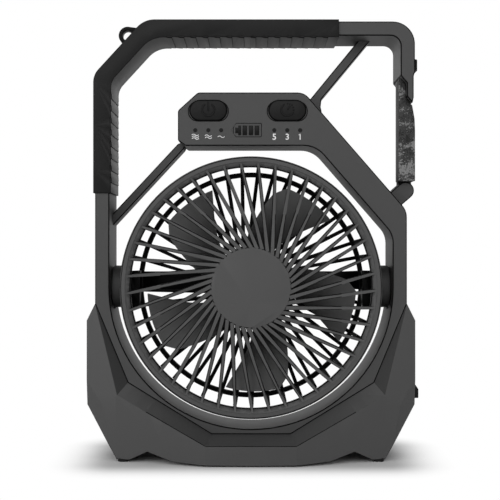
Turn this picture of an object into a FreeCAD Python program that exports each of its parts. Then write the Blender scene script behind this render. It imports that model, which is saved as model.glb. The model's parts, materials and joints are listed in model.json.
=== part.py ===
import FreeCAD, Part
import math
import os
import Sketcher

# Portable camping fan: a faceted base, a carrying frame with a console, and a fan head
# that tilts between the two posts. Millimetres, +Z up, +Y away from the front, +X to the
# right as seen from the front, origin on the floor under the centre of the frame.

V = FreeCAD.Vector
doc = FreeCAD.newDocument("camping_fan")
sheet = doc.addObject("Spreadsheet::Sheet", "size")

SIZES = [
    # frame
    ("frame_depth", 40.0, "frame, front face to rear face"),
    ("fan_z", 116.4, "height of the fan axis"),
    ("head_r", 87.4, "outer radius of the fan head"),
    ("swing_gap", 7.5, "gap between the head and the round opening"),
    ("post_w", 9.6, "width of the posts and of the top bar"),
    ("frame_top", 294.7, "height of the top bar's upper face"),
    ("handle_cut_x", 33.4, "top left corner cut, along the bar"),
    ("handle_cut_z", 36.4, "top left corner cut, down the post"),
    ("gate_shift", 5.4, "upper right post stands this far outside the lower one"),
    ("corner_r", 15.0, "outer radius of the top right corner"),
    ("console_top", 247.1, "height of the console's upper face"),
    ("console_left", 49.0, "console's left end, from the centre"),
    ("arm_deg", 41.0, "direction of the arm's normal above horizontal"),
    ("arm_w", 17.8, "width of the slanting arm"),
    ("wall", 2.2, "wall of the frame shells"),
    # base
    ("side_x", 110.4, "half width of the base"),
    ("base_front", 42.0, "half depth of the base"),
    ("base_wall", 2.4, "wall of the base shells"),
    ("rim_drop", 11.0, "base top below the fan axis"),
    ("foot_h", 2.2, "how far the feet stand below the base"),
    ("foot_w", 7.0, "foot, side to side"),
    ("foot_l", 14.0, "foot, front to back"),
    # grip and tether
    ("grip_wall", 1.1, "rubber sleeve thickness"),
    ("grip_end_x", 58.9, "right end of the sleeve"),
    ("grip_end_z", 179.5, "lower end of the sleeve"),
    ("tooth_pitch", 8.05, "spacing of the steps on the sleeve's inner side"),
    ("tooth_step", 0.45, "height of a step"),
    ("notch_w", 3.3, "notch at the end of each step, along the sleeve"),
    ("notch_h", 0.8, "notch height"),
    ("notch_d", 1.8, "notch, in from the sleeve's front and rear"),
    ("eye_hole_r", 3.4, "tether hole"),
    ("eye_r", 6.2, "tether eye, outside"),
    ("eye_t", 7.0, "tether eye thickness"),
    # head
    ("ring_front", 27.0, "head centre to the front of the ring"),
    ("ring_lip", 7.2, "radial width of the ring's front lip"),
    ("ring_wall", 2.4, "barrel wall of the head"),
    ("rib_count", 45, "ribs in each grille"),
    ("rib_w", 1.5, "width of a front rib"),
    ("rib_t", 3.4, "depth of a front rib"),
    ("rib_offset", 13.4, "ribs run at a tangent to a circle of this radius"),
    ("hub_r", 27.0, "radius of the round plate in the front grille"),
    ("rear_rib_w", 1.8, "width of a rear rib"),
    ("rear_offset", 5.0, "rear ribs run at a tangent to a circle of this radius"),
    ("rear_turn", 2.9, "rear ribs turned to meet the front ones at the rim, degrees"),
    ("pod_r", 25.0, "motor pod"),
    ("motor_r", 17.0, "motor can"),
    ("hoop_r", 78.4, "radius of the rear hoop"),
    ("rear_y", 26.5, "head centre to the back of the rear grille"),
    # impeller
    ("blade_count", 5, "blades"),
    ("blade_r", 71.0, "blade tip radius"),
    ("blade_t", 1.8, "blade thickness"),
    ("impeller_hub_r", 22.0, "impeller hub"),
    ("shaft_r", 2.0, "motor shaft"),
    # tilt pivot
    ("disc_r", 14.35, "tilt disc"),
    ("stub_r", 6.0, "tilt journal"),
    ("bush_wall", 2.0, "tilt bush round the journal"),
    ("bush_l", 4.0, "tilt bush length"),
    ("collar_out", 1.5, "collar at the journal's end, beyond the journal"),
    ("collar_t", 2.2, "collar thickness"),
    ("washer_t", 0.8, "friction washer"),
    ("running_gap", 0.06, "radial clearance of a running fit"),
    ("side_gap", 0.3, "clearance between parts that pass each other"),
    # keys
    ("key_w", 25.0, "console key, side to side"),
    ("key_h", 13.8, "console key, height"),
    ("key_proud", 1.3, "how far a key stands out"),
    ("key_z", 234.9, "height of the keys' middle"),
    ("lens_z", 221.7, "height of the indicator lights"),
    ("lens_r", 1.4, "indicator light"),
    # gate
    ("gate_depth", 31.0, "gate, front to back"),
    ("gate_gap", 0.4, "gap between the gate and the nose"),
    ("cover_t", 2.0, "printed front cover of the gate"),
    ("neck_w", 7.2, "gate neck between the ears"),
    ("gate_z", 181.9, "height of the gate's hinge"),
    ("gate_x", 105.1, "gate hinge from the centre"),
    ("pin_r", 2.0, "gate pin"),
    ("knuckle_r", 5.8, "rounded end of the gate's bracket"),
    ("ear_out", 9.0, "outer face of the bracket's ears, from the middle"),
    ("bracket_deg", 49.0, "slope of the bracket"),
    # release button
    ("button_z", 263.5, "lower end of the button's slot"),
    ("button_h", 7.8, "slot height"),
    ("button_w", 9.0, "slot, front to back"),
    ("button_proud", 1.6, "how far the button stands out"),
    # port
    ("port_z", 45.5, "height of the charging port"),
    ("port_w", 20.0, "port opening, front to back"),
    ("port_h", 7.0, "port opening height"),
    ("cell_r", 9.2, "battery cell radius"),
    ("cell_l", 65.0, "battery cell length"),
    # screws
    ("screw_r", 1.4, "housing screw shank"),
    ("screw_head_r", 2.6, "housing screw head"),
    ("screw_head_t", 2.0, "housing screw head thickness"),
]
for row, (alias, number, note) in enumerate(SIZES, 1):
    sheet.set(f"A{row}", note)
    sheet.set(f"B{row}", str(number))
    sheet.setAlias(f"B{row}", alias)
doc.recompute()


def size(alias):
    return float(sheet.get(alias))


# Sizes that the code reads often, and the ones that follow from them.
depth = size("frame_depth") / 2
fan_z = size("fan_z")
opening_r = size("head_r") + size("swing_gap")
post_out = opening_r + size("post_w")
top = size("frame_top")
wall = size("wall")
side_gap = size("side_gap")
running_gap = size("running_gap")

nodes = []          # the finished sub-parts, in order


def bind(thing, rules):
    for place, rule in rules.items():
        thing.setExpression(place, rule)
    return thing


def solid(label, shape):
    """A sub-part whose shape is worked out in this file."""
    piece = doc.addObject("Part::Feature", label)
    piece.Label = label
    piece.Shape = shape
    nodes.append(piece)
    return piece


def finish(thing, label):
    """Marks a feature of the document as a finished sub-part."""
    thing.Label = label
    nodes.append(thing)
    return thing


def box(name, low, high):
    """A block between two corners, each given as three rules on the sheet."""
    block = doc.addObject("Part::Box", name)
    for side, letter, a, b in zip(("Length", "Width", "Height"), "xyz", low, high):
        block.setExpression(side, f"({b}) - ({a})")
        block.setExpression(f"Placement.Base.{letter}", a)
    return block


TURNS = {"X": FreeCAD.Rotation(V(0, 1, 0), 90), "Y": FreeCAD.Rotation(V(1, 0, 0), -90),
         "Z": FreeCAD.Rotation()}


def rod(name, radius, length, start, along="Y"):
    """A cylinder from its start point along +X, +Y or +Z; every size is a rule."""
    bar = doc.addObject("Part::Cylinder", name)
    bar.Placement = FreeCAD.Placement(V(), TURNS[along])
    bind(bar, {"Radius": radius, "Height": length, "Placement.Base.x": start[0],
               "Placement.Base.y": start[1], "Placement.Base.z": start[2]})
    return bar


def fuse(name, parts):
    joined = doc.addObject("Part::MultiFuse", name)
    joined.Shapes = parts
    joined.Refine = True
    return joined


def cut(name, base, tools):
    tool = tools[0] if len(tools) == 1 else fuse(name + "_tools", tools)
    result = doc.addObject("Part::Cut", name)
    result.Base = base
    result.Tool = tool
    result.Refine = True
    return result


def outline(corners):
    """Edges of a closed outline. A corner is (x, z) or (x, z, radius); ("arc", x, z)
    between two corners bends the run between them through that point."""
    count = len(corners)
    starts, ends, rounds = {}, {}, []
    solid_corners = [n for n in range(count) if corners[n][0] != "arc"]
    for n in solid_corners:
        here = V(corners[n][0], corners[n][1], 0)
        radius = corners[n][2] if len(corners[n]) > 2 else 0
        starts[n] = ends[n] = here
        if radius:
            before = V(*corners[(n - 1) % count][:2], 0) - here
            after = V(*corners[(n + 1) % count][:2], 0) - here
            half = before.getAngle(after) / 2
            reach = radius / math.tan(half)
            before.normalize()
            after.normalize()
            middle = before + after
            middle.normalize()
            centre = here + middle * (radius / math.sin(half))
            ends[n] = here + before * reach
            starts[n] = here + after * reach
            rounds.append(Part.Arc(ends[n], centre - middle * radius, starts[n]))
    edges = list(rounds)
    for place, n in enumerate(solid_corners):
        m = solid_corners[(place + 1) % len(solid_corners)]
        between = corners[(n + 1) % count]
        if between[0] == "arc":
            edges.append(Part.Arc(starts[n], V(between[1], between[2], 0), ends[m]))
        elif (starts[n] - ends[m]).Length > 1e-6:
            edges.append(Part.LineSegment(starts[n], ends[m]))
    return edges


UPRIGHT = FreeCAD.Rotation(V(1, 0, 0), 90)


def plate(name, corners, near, far):
    """An outline in the X-Z plane, extruded from one depth to another (rules)."""
    sketch = doc.addObject("Sketcher::SketchObject", name + "_sketch")
    for edge in outline(corners):
        sketch.addGeometry(edge)
    sketch.Placement = FreeCAD.Placement(V(), UPRIGHT)
    sketch.setExpression("Placement.Base.y", near)
    body = doc.addObject("Part::Extrusion", name)
    body.Base = sketch
    body.DirMode = "Custom"
    body.Dir = V(0, 1, 0)
    body.Solid = True
    body.setExpression("LengthFwd", f"({far}) - ({near})")
    return body


def mirrored(point, x=1, y=1):
    return V(point.x * x, point.y * y, point.z)


def beyond(point, normal, inset=0.0, reach=500.0):
    """A big block on the outer side of a plane, moved inwards by the inset."""
    block = Part.makeBox(2 * reach, 2 * reach, reach, V(-reach, -reach, 0))
    normal = V(normal).normalize()
    block.Placement = FreeCAD.Placement(point - normal * inset,
                                        FreeCAD.Rotation(V(0, 0, 1), normal))
    return block


def outward(a, b, c, centre):
    normal = (b - a).cross(c - a)
    return normal if normal.dot(a - centre) > 0 else normal * -1


# Corner points of the base, left front quarter; the other quarters mirror it.
rim_top = fan_z - size("rim_drop")
base_front = size("base_front")
side_x = size("side_x")
APEX = V(-post_out, -depth, rim_top)
RIM_SIDE = V(-post_out + 21.9, -depth, rim_top - 52.9)
RIM_LOW = V(-26.6, -depth, fan_z - opening_r - 3.5)
PROUD_SIDE = V(-post_out + 15.6, -depth - 6.8, rim_top - 60.2)
PROUD_LOW = V(-29.6, -base_front, 14.1)
FACET = V(-side_x + 11.1, -depth - 2.5, rim_top - 68.0)
FACET_TOP = V(-side_x, -depth + 2.2, rim_top - 50.9)
FACET_LOW = V(-side_x, -depth + 5.5, rim_top - 68.2)
HEEL = V(-side_x, 0, 37.4)
TOE = V(-89.8, 0, 1.4)
CENTRE = V(0, 0, 60)
RIM_FALL = 11.3             # the base top slants down this much to its side


def under_side(rise):
    """What lies below the base: a block whose top follows the arches between the feet."""
    half = [(-81.0, 1.6), (-68.6, 7.8), (-52.0, 2.2), (-33.0, 1.0), (0.0, 0.6)]
    points = [V(-200, 0, 1.4 + rise)]
    points += [V(x, 0, z + rise) for x, z in half]
    points += [V(-x, 0, z + rise) for x, z in reversed(half[:-1])]
    points += [V(200, 0, 1.4 + rise), V(200, 0, -60), V(-200, 0, -60)]
    face = Part.Face(Part.makePolygon([p - V(0, 200, 0) for p in points + points[:1]]))
    return face.extrude(V(0, 400, 0))


def base_block(inset):
    """The faceted outside of the base, every face moved inwards by the inset."""
    block = Part.makeBox(2 * side_x - 2 * inset, 2 * base_front - 2 * inset, rim_top - inset,
                         V(inset - side_x, inset - base_front, 0))
    tools = [under_side(inset)]
    for x in (1, -1):
        tools.append(beyond(mirrored(APEX, x), V(-RIM_FALL * x, 0, side_x - post_out), inset))
        slope = HEEL - TOE
        tools.append(beyond(mirrored(TOE, x), V(-slope.z * x, 0, slope.x), inset))
        for y in (1, -1):
            for a, b, c in ((APEX, PROUD_SIDE, FACET), (PROUD_SIDE, FACET, PROUD_LOW),
                            (FACET, FACET_TOP, FACET_LOW)):
                a, b, c = (mirrored(p, x, y) for p in (a, b, c))
                tools.append(beyond(a, outward(a, b, c, CENTRE), inset))
    for y in (1, -1):
        tools.append(beyond(mirrored(PROUD_LOW, 1, y), V(0, -y, -0.12), inset))
    return block.cut(tools)


def head_well(outset):
    """The space in the base that the frame and the head take, grown by the outset."""
    wells = []
    middle = Part.makeBox(400, 2 * depth, 300, V(-200, -depth, 0))
    tools = []
    for x in (1, -1):
        a, b, c = (mirrored(p, x) for p in (APEX, RIM_SIDE, RIM_LOW))
        for start, end in ((a, b), (b, c)):
            run = end - start
            normal = V(run.z, 0, -run.x) * (-x if run.z < 0 else 1)
            if normal.dot(start - V(0, 0, fan_z)) < 0:
                normal = normal * -1
            tools.append(beyond(start, normal, -outset))
    tools.append(beyond(RIM_LOW, V(0, 0, -1), -outset))
    wells.append(middle.cut(tools))
    inner = V(0, 0, fan_z)
    for y in (1, -1):
        flare = Part.makeBox(400, 60, 300, V(-200, -depth - 60 if y > 0 else depth, 0))
        tools = []
        for x in (1, -1):
            p = [mirrored(q, x, y) for q in (APEX, RIM_SIDE, PROUD_SIDE, RIM_LOW, PROUD_LOW)]
            eye = V(inner.x, p[0].y, inner.z)
            tools.append(beyond(p[0], outward(p[0], p[1], p[2], eye), -outset))
            tools.append(beyond(p[1], outward(p[1], p[3], p[2], eye), -outset))
        lows = [mirrored(RIM_LOW, 1, y), mirrored(RIM_LOW, -1, y), mirrored(PROUD_LOW, 1, y)]
        tools.append(beyond(lows[0], outward(*lows, V(0, lows[0].y, fan_z)), -outset))
        wells.append(flare.cut(tools))
    return wells


def front_half(shape):
    return shape.common(Part.makeBox(600, 300, 600, V(-300, -300, -100)))


def rear_half(shape):
    return shape.common(Part.makeBox(600, 300, 600, V(-300, 0, -100)))


def along_y(radius, x, z, low, high):
    return Part.makeCylinder(radius, high - low, V(x, low, z), V(0, 1, 0))


def along_x(radius, y, z, low, high):
    return Part.makeCylinder(radius, high - low, V(low, y, z), V(1, 0, 0))


# Base shells: the faceted block, hollowed, with a screw post near each corner.
BASE_SCREWS = [(-101.0, 76.0), (101.0, 76.0), (-24.0, 9.6), (24.0, 9.6)]
BASE_POST_R = 3.6
SCREW_R = size("screw_r")
HEAD_R = size("screw_head_r")
HEAD_T = size("screw_head_t")
HEAD_SINK = HEAD_T + 1.1
SHANK_FRONT = 8.0 - depth   # screws reach this far into the front shells

outside = base_block(0.0).cut(head_well(0.0))
base_wall = size("base_wall")
hollow = base_block(base_wall).cut(head_well(base_wall))
posts = [along_y(BASE_POST_R, x, z, -base_front, base_front) for x, z in BASE_SCREWS]
port_z = size("port_z")
port_cut = Part.makeBox(30, size("port_w"), size("port_h"),
                        V(side_x - 15, -size("port_w") / 2, port_z - size("port_h") / 2))
shell = outside.cut(hollow.cut(posts)).cut(port_cut)
screw_holes, base_screws = [], []
for x, z in BASE_SCREWS:
    here = outside.common(along_y(0.4, x, z, 0, base_front))
    back = here.BoundBox.YMax - HEAD_SINK
    screw_holes.append(along_y(SCREW_R, x, z, SHANK_FRONT, back))
    screw_holes.append(along_y(HEAD_R, x, z, back, 2 * base_front))
    base_screws.append(along_y(SCREW_R, x, z, SHANK_FRONT, back).fuse(
        along_y(HEAD_R, x, z, back, back + HEAD_T)).removeSplitter())
shell = shell.cut(screw_holes)
solid("base_front_shell", front_half(shell))
solid("base_rear_shell", rear_half(shell))
solid("base_screws", Part.makeCompound(base_screws))

# Feet: soft pads let into the underside of the base.
FOOT_ROUND = 2.0
FOOT_X = 89.0                # outer ends of the feet
FOOT_Y = depth + 2.4
UPRIGHT_EDGES = (1, 3, 5, 7)
for front in (True, False):
    for left in (True, False):
        label = f"foot_{'front' if front else 'rear'}_{'left' if left else 'right'}"
        x_in = f"-{FOOT_X}" if left else f"{FOOT_X} - size.foot_w"
        x_out = f"{x_in} + size.foot_w"
        y_in = f"-{FOOT_Y}" if front else f"{FOOT_Y} - size.foot_l"
        pad = box(label + "_pad", (x_in, y_in, "0"), (x_out, f"{y_in} + size.foot_l", "size.foot_h"))
        rounded = doc.addObject("Part::Fillet", label + "_round")
        rounded.Base = pad
        rounded.Edges = [(n, FOOT_ROUND, FOOT_ROUND) for n in UPRIGHT_EDGES]
        doc.recompute()
        solid(label, rounded.Shape.cut(outside))

# Frame outline, seen from the front: one run from the nose beside the gate, over the top
# and down the left post, round the opening, and up the right post and arm to the console.
arm = math.radians(size("arm_deg"))
arm_out = opening_r + size("arm_w")


def arm_point(radius, x=None, z=None):
    """A point on the slanting line at this distance from the fan axis."""
    if x is None:
        x = (radius - (z - fan_z) * math.sin(arm)) / math.cos(arm)
    else:
        z = fan_z + (radius - x * math.cos(arm)) / math.sin(arm)
    return x, z


post_in = opening_r
console_top = size("console_top")
console_left = size("console_left")
console_low = fan_z + opening_r
post_w = size("post_w")
upper_out = post_out + size("gate_shift")
upper_in = upper_out - post_w
cut_x, cut_z = size("handle_cut_x"), size("handle_cut_z")
slant = math.atan2(cut_z, cut_x)
in_x = post_w * math.tan((math.pi / 2 - slant) / 2)
in_z = post_w * math.tan(slant / 2)

# The nose under the upper right post: its inner side is stepped to a low tip, so that the
# gate closes against it from inside. Corners from the post's inner side to its outer side.
nose_in = [(upper_in, 258.3), (upper_in + 4.2, 253.4), (upper_in + 4.2, 244.4), (upper_in + 8.0, 240.0)]
nose_out = [(upper_out, 260.7), (upper_out - 0.8, 258.1), (upper_out - 0.8, 243.9)]
handle_corners = {
    "out_low": (-post_out, top - cut_z, 12.0), "out_high": (-post_out + cut_x, top, 15.0),
    "in_high": (-post_out + cut_x + in_z, top - post_w, 19.0),
    "in_low": (-post_in, top - cut_z - in_x, 13.0)}
frame_corners = [
    *reversed(nose_in), (upper_in, top - post_w, 7.0),
    handle_corners["in_high"], handle_corners["in_low"], (-post_in, fan_z),
    ("arc", 0, fan_z - opening_r), (post_in, fan_z),
    (*arm_point(opening_r, x=post_in), 15.0), (*arm_point(opening_r, z=console_low), 18.0),
    (5.0 - console_left, console_low, 1.5), (-console_left, console_low + 3.6, 1.5),
    (-console_left, console_top - 12.1, 3.0), (13.4 - console_left, console_top, 4.0),
    (*arm_point(arm_out, z=console_top), 10.0),
    (*arm_point(arm_out, x=post_out), 12.0), (post_out, rim_top),
    (-RIM_SIDE.x, RIM_SIDE.z), (-RIM_LOW.x, RIM_LOW.z), (RIM_LOW.x, RIM_LOW.z),
    (RIM_SIDE.x, RIM_SIDE.z), (-post_out, rim_top),
    handle_corners["out_low"], handle_corners["out_high"],
    (upper_out, top, size("corner_r")), *nose_out]

# Knuckle bracket for the gate pin, standing off the corner of the arm.
gate_x, gate_z = size("gate_x"), size("gate_z")
knuckle_r = size("knuckle_r")
lean = math.radians(size("bracket_deg"))
slope = V(-math.sin(lean), 0, -math.cos(lean))
across = V(slope.z, 0, -slope.x)
BRACKET_REACH = 16.0
EAR_OUT = size("ear_out")
EAR_IN = size("neck_w") / 2 + side_gap
PIN_SUNK = 1.2              # the pin ends this far inside the ears


def bracket(reach, low, high):
    """A strip with a round end about the gate pin, running down towards the arm."""
    pin = V(gate_x, low, gate_z)
    ends = [pin + across * knuckle_r, pin + slope * reach + across * knuckle_r,
            pin + slope * reach - across * knuckle_r, pin - across * knuckle_r]
    rounded = Part.Arc(ends[3], pin - slope * knuckle_r, ends[0]).toShape()
    sides = Part.makePolygon(ends)
    face = Part.Face(Part.Wire([rounded] + sides.Edges))
    return face.extrude(V(0, high - low, 0))


# Hollows inside the frame: each is an outline, closed at the faces by the wall.
pocket_out, pocket_in = post_out - wall, post_in + wall
bar_low, bar_high = top - post_w + wall, top - wall
arm_mid = opening_r + size("arm_w") / 2
arm_half = size("arm_w") / 2 - wall - 0.6


def arm_pocket(z_low, z_high):
    corners = []
    for radius, z in ((arm_mid - arm_half, z_low), (arm_mid + arm_half, z_low),
                      (arm_mid + arm_half, z_high), (arm_mid - arm_half, z_high)):
        corners.append((*arm_point(radius, z=z), 1.5))
    return corners


POCKETS = {
    "console": [(wall - console_left, console_low + 2.8, 2), (42.0, console_low + 2.8, 2),
                (*arm_point(arm_out - wall, x=42.0), 2),
                (*arm_point(arm_out - wall, z=console_top - wall), 2),
                (14.2 - console_left, console_top - wall, 2), (wall - console_left, console_top - 13.1, 2)],
    "left_post": [(-pocket_out, 139), (-pocket_in, 139), (-pocket_in, 166), (-pocket_out, 166)],
    "left_upper": [(-pocket_out, 178), (-pocket_in, 178), (-pocket_in, 246), (-pocket_out, 246)],
    "top_left": [(-56, bar_low), (16, bar_low), (16, bar_high), (-56, bar_high)],
    "top_right": [(20, bar_low), (72, bar_low), (72, bar_high), (20, bar_high)],
    "right_post": [(pocket_in, 139), (pocket_out, 139), (pocket_out, 152), (pocket_in, 152)],
    "arm": arm_pocket(177.0, 206.0),
}
mid_post = opening_r + post_w / 2
FRAME_SCREWS = [(-mid_post, 172.0), (-mid_post, 132.0), (80.0, top - post_w / 2), (mid_post, 132.0),
                (52.1, 214.1)]

half_depth = "size.frame_depth / 2"
inner_face = "size.frame_depth / 2 - size.wall"


def pockets(name, near, far):
    return [plate(f"{name}_{key}", corners, near, far) for key, corners in POCKETS.items()]


def screw_cuts(name, near, far):
    """Clearance for the shanks and, at the rear, the sunk heads of the frame screws."""
    cuts = []
    for n, (x, z) in enumerate(FRAME_SCREWS):
        cuts.append(rod(f"{name}_shank_{n}", str(SCREW_R), f"({far}) - ({near})", (str(x), near, str(z))))
    return cuts


# Pivot seats: a bush and the collar of the tilt journal lie in round seats in the posts.
BUSH_R = size("stub_r") + size("bush_wall")
BUSH_L = size("bush_l")
COLLAR_R = size("stub_r") + size("collar_out")
COLLAR_T = size("collar_t")
washer_t = size("washer_t")
END_PLAY = 0.4              # free length at the journal's inner and outer end


def pivot_cuts():
    cuts = []
    for side in (-1, 1):
        low, high = sorted((side * (post_in - 4.0), side * post_in))
        cuts.append(along_x(size("disc_r") + 2 * side_gap, 0, fan_z, low, high))
        low, high = sorted((side * (post_in - 0.5), side * (post_in + BUSH_L)))
        cuts.append(along_x(BUSH_R, 0, fan_z, low, high))
        low, high = sorted((side * (post_in + BUSH_L - 0.1),
                            side * (post_in + BUSH_L + COLLAR_T + side_gap + END_PLAY)))
        cuts.append(along_x(COLLAR_R + side_gap, 0, fan_z, low, high))
    return cuts


# Release button: slides in a slot through the outer wall of the upper right post.
BUTTON_Z = (size("button_z"), size("button_z") + size("button_h"))
BUTTON_Y = size("button_w") / 2
BUTTON_PROUD = size("button_proud")
FLANGE_OUT = 1.5            # hidden flange of the button, beyond its slot
ROOM_OUT = FLANGE_OUT + 1.0
button_room = Part.makeBox(post_w - 2 * wall, 2 * (BUTTON_Y + ROOM_OUT), size("button_h") + 2 * ROOM_OUT,
                           V(upper_in + wall, -BUTTON_Y - ROOM_OUT, BUTTON_Z[0] - ROOM_OUT))
button_slot = Part.makeBox(post_w, 2 * BUTTON_Y, size("button_h"),
                           V(upper_out - wall - 1, -BUTTON_Y, BUTTON_Z[0]))

# Holes in the console's front face for the keys, the indicator lenses and the gauge.
KEY_X = {"power_key": -28.6, "timer_key": 24.3}
KEY_Z = size("key_z")
LENS_X = [-37.3, -28.6, -20.0, 15.6, 24.3, 32.9]
LENS_Z = size("lens_z")
LENS_R = size("lens_r")
GAUGE_H = 9.8
GAUGE_X = (-13.4, -10.0, 7.4)    # point of the left end, its shoulders, the right end
gauge_low, gauge_high = LENS_Z - GAUGE_H / 2, LENS_Z + GAUGE_H / 2
GAUGE = [(GAUGE_X[0], LENS_Z), (GAUGE_X[1], gauge_high), (GAUGE_X[2], gauge_high),
         (GAUGE_X[2], gauge_low), (GAUGE_X[1], gauge_low)]
key_w, key_h = size("key_w"), size("key_h")


def stadium(x, z, width, height):
    """A slot outline with full round ends."""
    r = height / 2
    straight = width / 2 - r
    return [(x - straight, z - r), (x + straight, z - r), ("arc", x + width / 2, z),
            (x + straight, z + r), (x - straight, z + r), ("arc", x - width / 2, z)]


front_plate = plate("frame_front_block", frame_corners, f"-({half_depth})", "0")
front_tools = pockets("front_pocket", f"-({inner_face})", "0")
front_tools += screw_cuts("front_screw", str(SHANK_FRONT), "0")
for label, x in KEY_X.items():
    front_tools.append(plate(label + "_hole", stadium(x, KEY_Z, key_w + 2 * side_gap, key_h + 2 * side_gap),
                             f"-({half_depth}) - 1", f"-({inner_face}) + 1"))
for n, x in enumerate(LENS_X):
    front_tools.append(rod(f"lens_hole_{n}", str(LENS_R), "size.wall + 2",
                           (str(x), f"-({half_depth}) - 1", str(LENS_Z))))
front_tools.append(plate("gauge_hole", GAUGE, f"-({half_depth}) - 1", f"-({inner_face}) + 1"))
frame_front_cut = cut("frame_front_cut", front_plate, front_tools)

STRUTS = {
    "strut_high": [(84.2, top - 6.7), (75.8, top - 6.7), (38.9, 243.0), (39.6, 232.0), (50.2, 229.5),
                   (48.0, 240.0), (48.6, 245.2)],
    "strut_low": [(-45.0, 216.0), (-50.3, 214.6), (-96.5, 165.0), (-96.5, 156.6), (-46.0, 211.2)],
}
rear_plate = plate("frame_rear_block", frame_corners, "0", half_depth)
struts = [plate(name, corners, "0.5", f"{half_depth} - 0.8") for name, corners in STRUTS.items()]
rear_block = fuse("frame_rear_body", [rear_plate] + struts)
rear_tools = pockets("rear_pocket", "0", inner_face)
rear_tools += screw_cuts("rear_screw", "0", half_depth + " + 1")
for n, (x, z) in enumerate(FRAME_SCREWS):
    rear_tools.append(rod(f"rear_head_{n}", str(HEAD_R), "10", (str(x), str(depth - HEAD_SINK), str(z))))
frame_rear_cut = cut("frame_rear_cut", rear_block, rear_tools)
doc.recompute()


def frame_shell(half, low, high):
    """Adds the knuckle bracket to one half and cuts what both halves share."""
    arm_strip = bracket(BRACKET_REACH, max(low, -EAR_OUT), min(high, EAR_OUT))
    slot = along_y(knuckle_r + 2.2, gate_x, gate_z, -EAR_IN, EAR_IN)
    pin_hole = along_y(size("pin_r"), gate_x, gate_z, PIN_SUNK - EAR_OUT, EAR_OUT - PIN_SUNK)
    whole = half.fuse(arm_strip).removeSplitter()
    return whole.cut([slot, pin_hole, button_room, button_slot] + pivot_cuts())


solid("frame_front_shell", frame_shell(frame_front_cut.Shape, -depth, 0))
frame_rear = frame_shell(frame_rear_cut.Shape, 0, depth)

# Tether eye on the outside of the handle's slanting corner, rear half.
EYE = V(-85.7, 0, top - 4.5)
EYE_Y = 6.0
eye_y2 = EYE_Y + size("eye_t")
eye_top = EYE.z + size("eye_r")
eye_root = Part.makePolygon([V(EYE.x, EYE_Y, eye_top), V(-70.0, EYE_Y, eye_top - 2.0),
                             V(-78.0, EYE_Y, EYE.z - 16.2),
                             V(EYE.x - 4.6, EYE_Y, EYE.z - 4.2), V(EYE.x, EYE_Y, eye_top)])
eye = Part.Face(eye_root).extrude(V(0, size("eye_t"), 0))
eye = eye.fuse(along_y(size("eye_r"), EYE.x, EYE.z, EYE_Y, eye_y2))
eye = eye.cut(along_y(size("eye_hole_r"), EYE.x, EYE.z, EYE_Y - 1, eye_y2 + 1)).removeSplitter()
solid("frame_rear_shell", frame_rear)

# Grip: a rubber sleeve round the left post, the slanting corner and most of the top bar.
grip_wall = size("grip_wall")
mitre = grip_wall * math.tan(math.pi / 8)
tooth_pitch, tooth_step = size("tooth_pitch"), size("tooth_step")
side_face, bar_face = grip_wall - post_in, top - post_w - grip_wall
side_teeth = [top - 52.0 - tooth_pitch * n for n in range(8)]
bar_teeth = [tooth_pitch * n - 52.9 for n in range(14)]
side_run, bar_run = [], []
for z in reversed(side_teeth):
    side_run += [(side_face, z), (side_face + tooth_step, z)]
for x in bar_teeth:
    bar_run += [(x, bar_face - tooth_step), (x, bar_face)]
grip_corners = [
    (-post_out - grip_wall, size("grip_end_z")), (side_face, size("grip_end_z")), *side_run,
    (handle_corners["in_low"][0] + grip_wall, handle_corners["in_low"][1] - mitre, 12.0),
    (handle_corners["in_high"][0] + mitre, handle_corners["in_high"][1] - grip_wall, 18.0), *bar_run,
    (size("grip_end_x"), bar_face), (size("grip_end_x"), top + grip_wall),
    (handle_corners["out_high"][0] - mitre, top + grip_wall, 16.0),
    (-post_out - grip_wall, handle_corners["out_low"][1] + mitre, 13.0)]
grip_block = plate("handle_grip_block", grip_corners, f"-({half_depth}) - size.grip_wall",
                   f"{half_depth} + size.grip_wall")
frame_core = plate("handle_core", frame_corners, f"-({half_depth})", half_depth)
doc.recompute()
notch_w, notch_h, notch_d = size("notch_w"), size("notch_h"), size("notch_d")
notches = []
for y in (-depth - grip_wall, depth + grip_wall - notch_d):
    for x in bar_teeth:
        notches.append(Part.makeBox(notch_w, notch_d, notch_h, V(x - notch_w, y, bar_face - tooth_step)))
    for z in side_teeth:
        notches.append(Part.makeBox(notch_h, notch_d, notch_w, V(side_face + tooth_step - notch_h, y, z)))
grip = grip_block.Shape.cut([frame_core.Shape] + notches)
solid("handle_grip", grip)
solid("tether_eye", eye.cut([grip_block.Shape, frame_core.Shape]))

frame_screws = []
for x, z in FRAME_SCREWS:
    head_y = depth - HEAD_SINK
    frame_screws.append(along_y(SCREW_R, x, z, SHANK_FRONT, head_y).fuse(
        along_y(HEAD_R, x, z, head_y, head_y + HEAD_T)).removeSplitter())
solid("frame_screws", Part.makeCompound(frame_screws))

# Tilt pivot: bushes and friction washers in the posts, journals on the head.
disc_face = post_in - washer_t - side_gap
for side, word in ((-1, "left"), (1, "right")):
    low, high = sorted((side * post_in, side * (post_in + BUSH_L)))
    bush = along_x(BUSH_R, 0, fan_z, low, high).cut(
        along_x(size("stub_r") + running_gap, 0, fan_z, low - 1, high + 1))
    solid(f"pivot_bush_{word}", bush)
    low, high = sorted((side * (post_in - washer_t), side * post_in))
    washer = along_x(size("disc_r") - 1.0, 0, fan_z, low, high).cut(
        along_x(size("stub_r") + side_gap, 0, fan_z, low - 1, high + 1))
    solid(f"friction_washer_{word}", washer)


def turned(profile, spin=360):
    """A closed profile of (radius, y) points turned about the fan axis."""
    points = [V(r, y, fan_z) for r, y in profile]
    face = Part.Face(Part.makePolygon(points + points[:1]))
    return face.revolve(V(0, 0, fan_z), V(0, 1, 0), spin)


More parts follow.
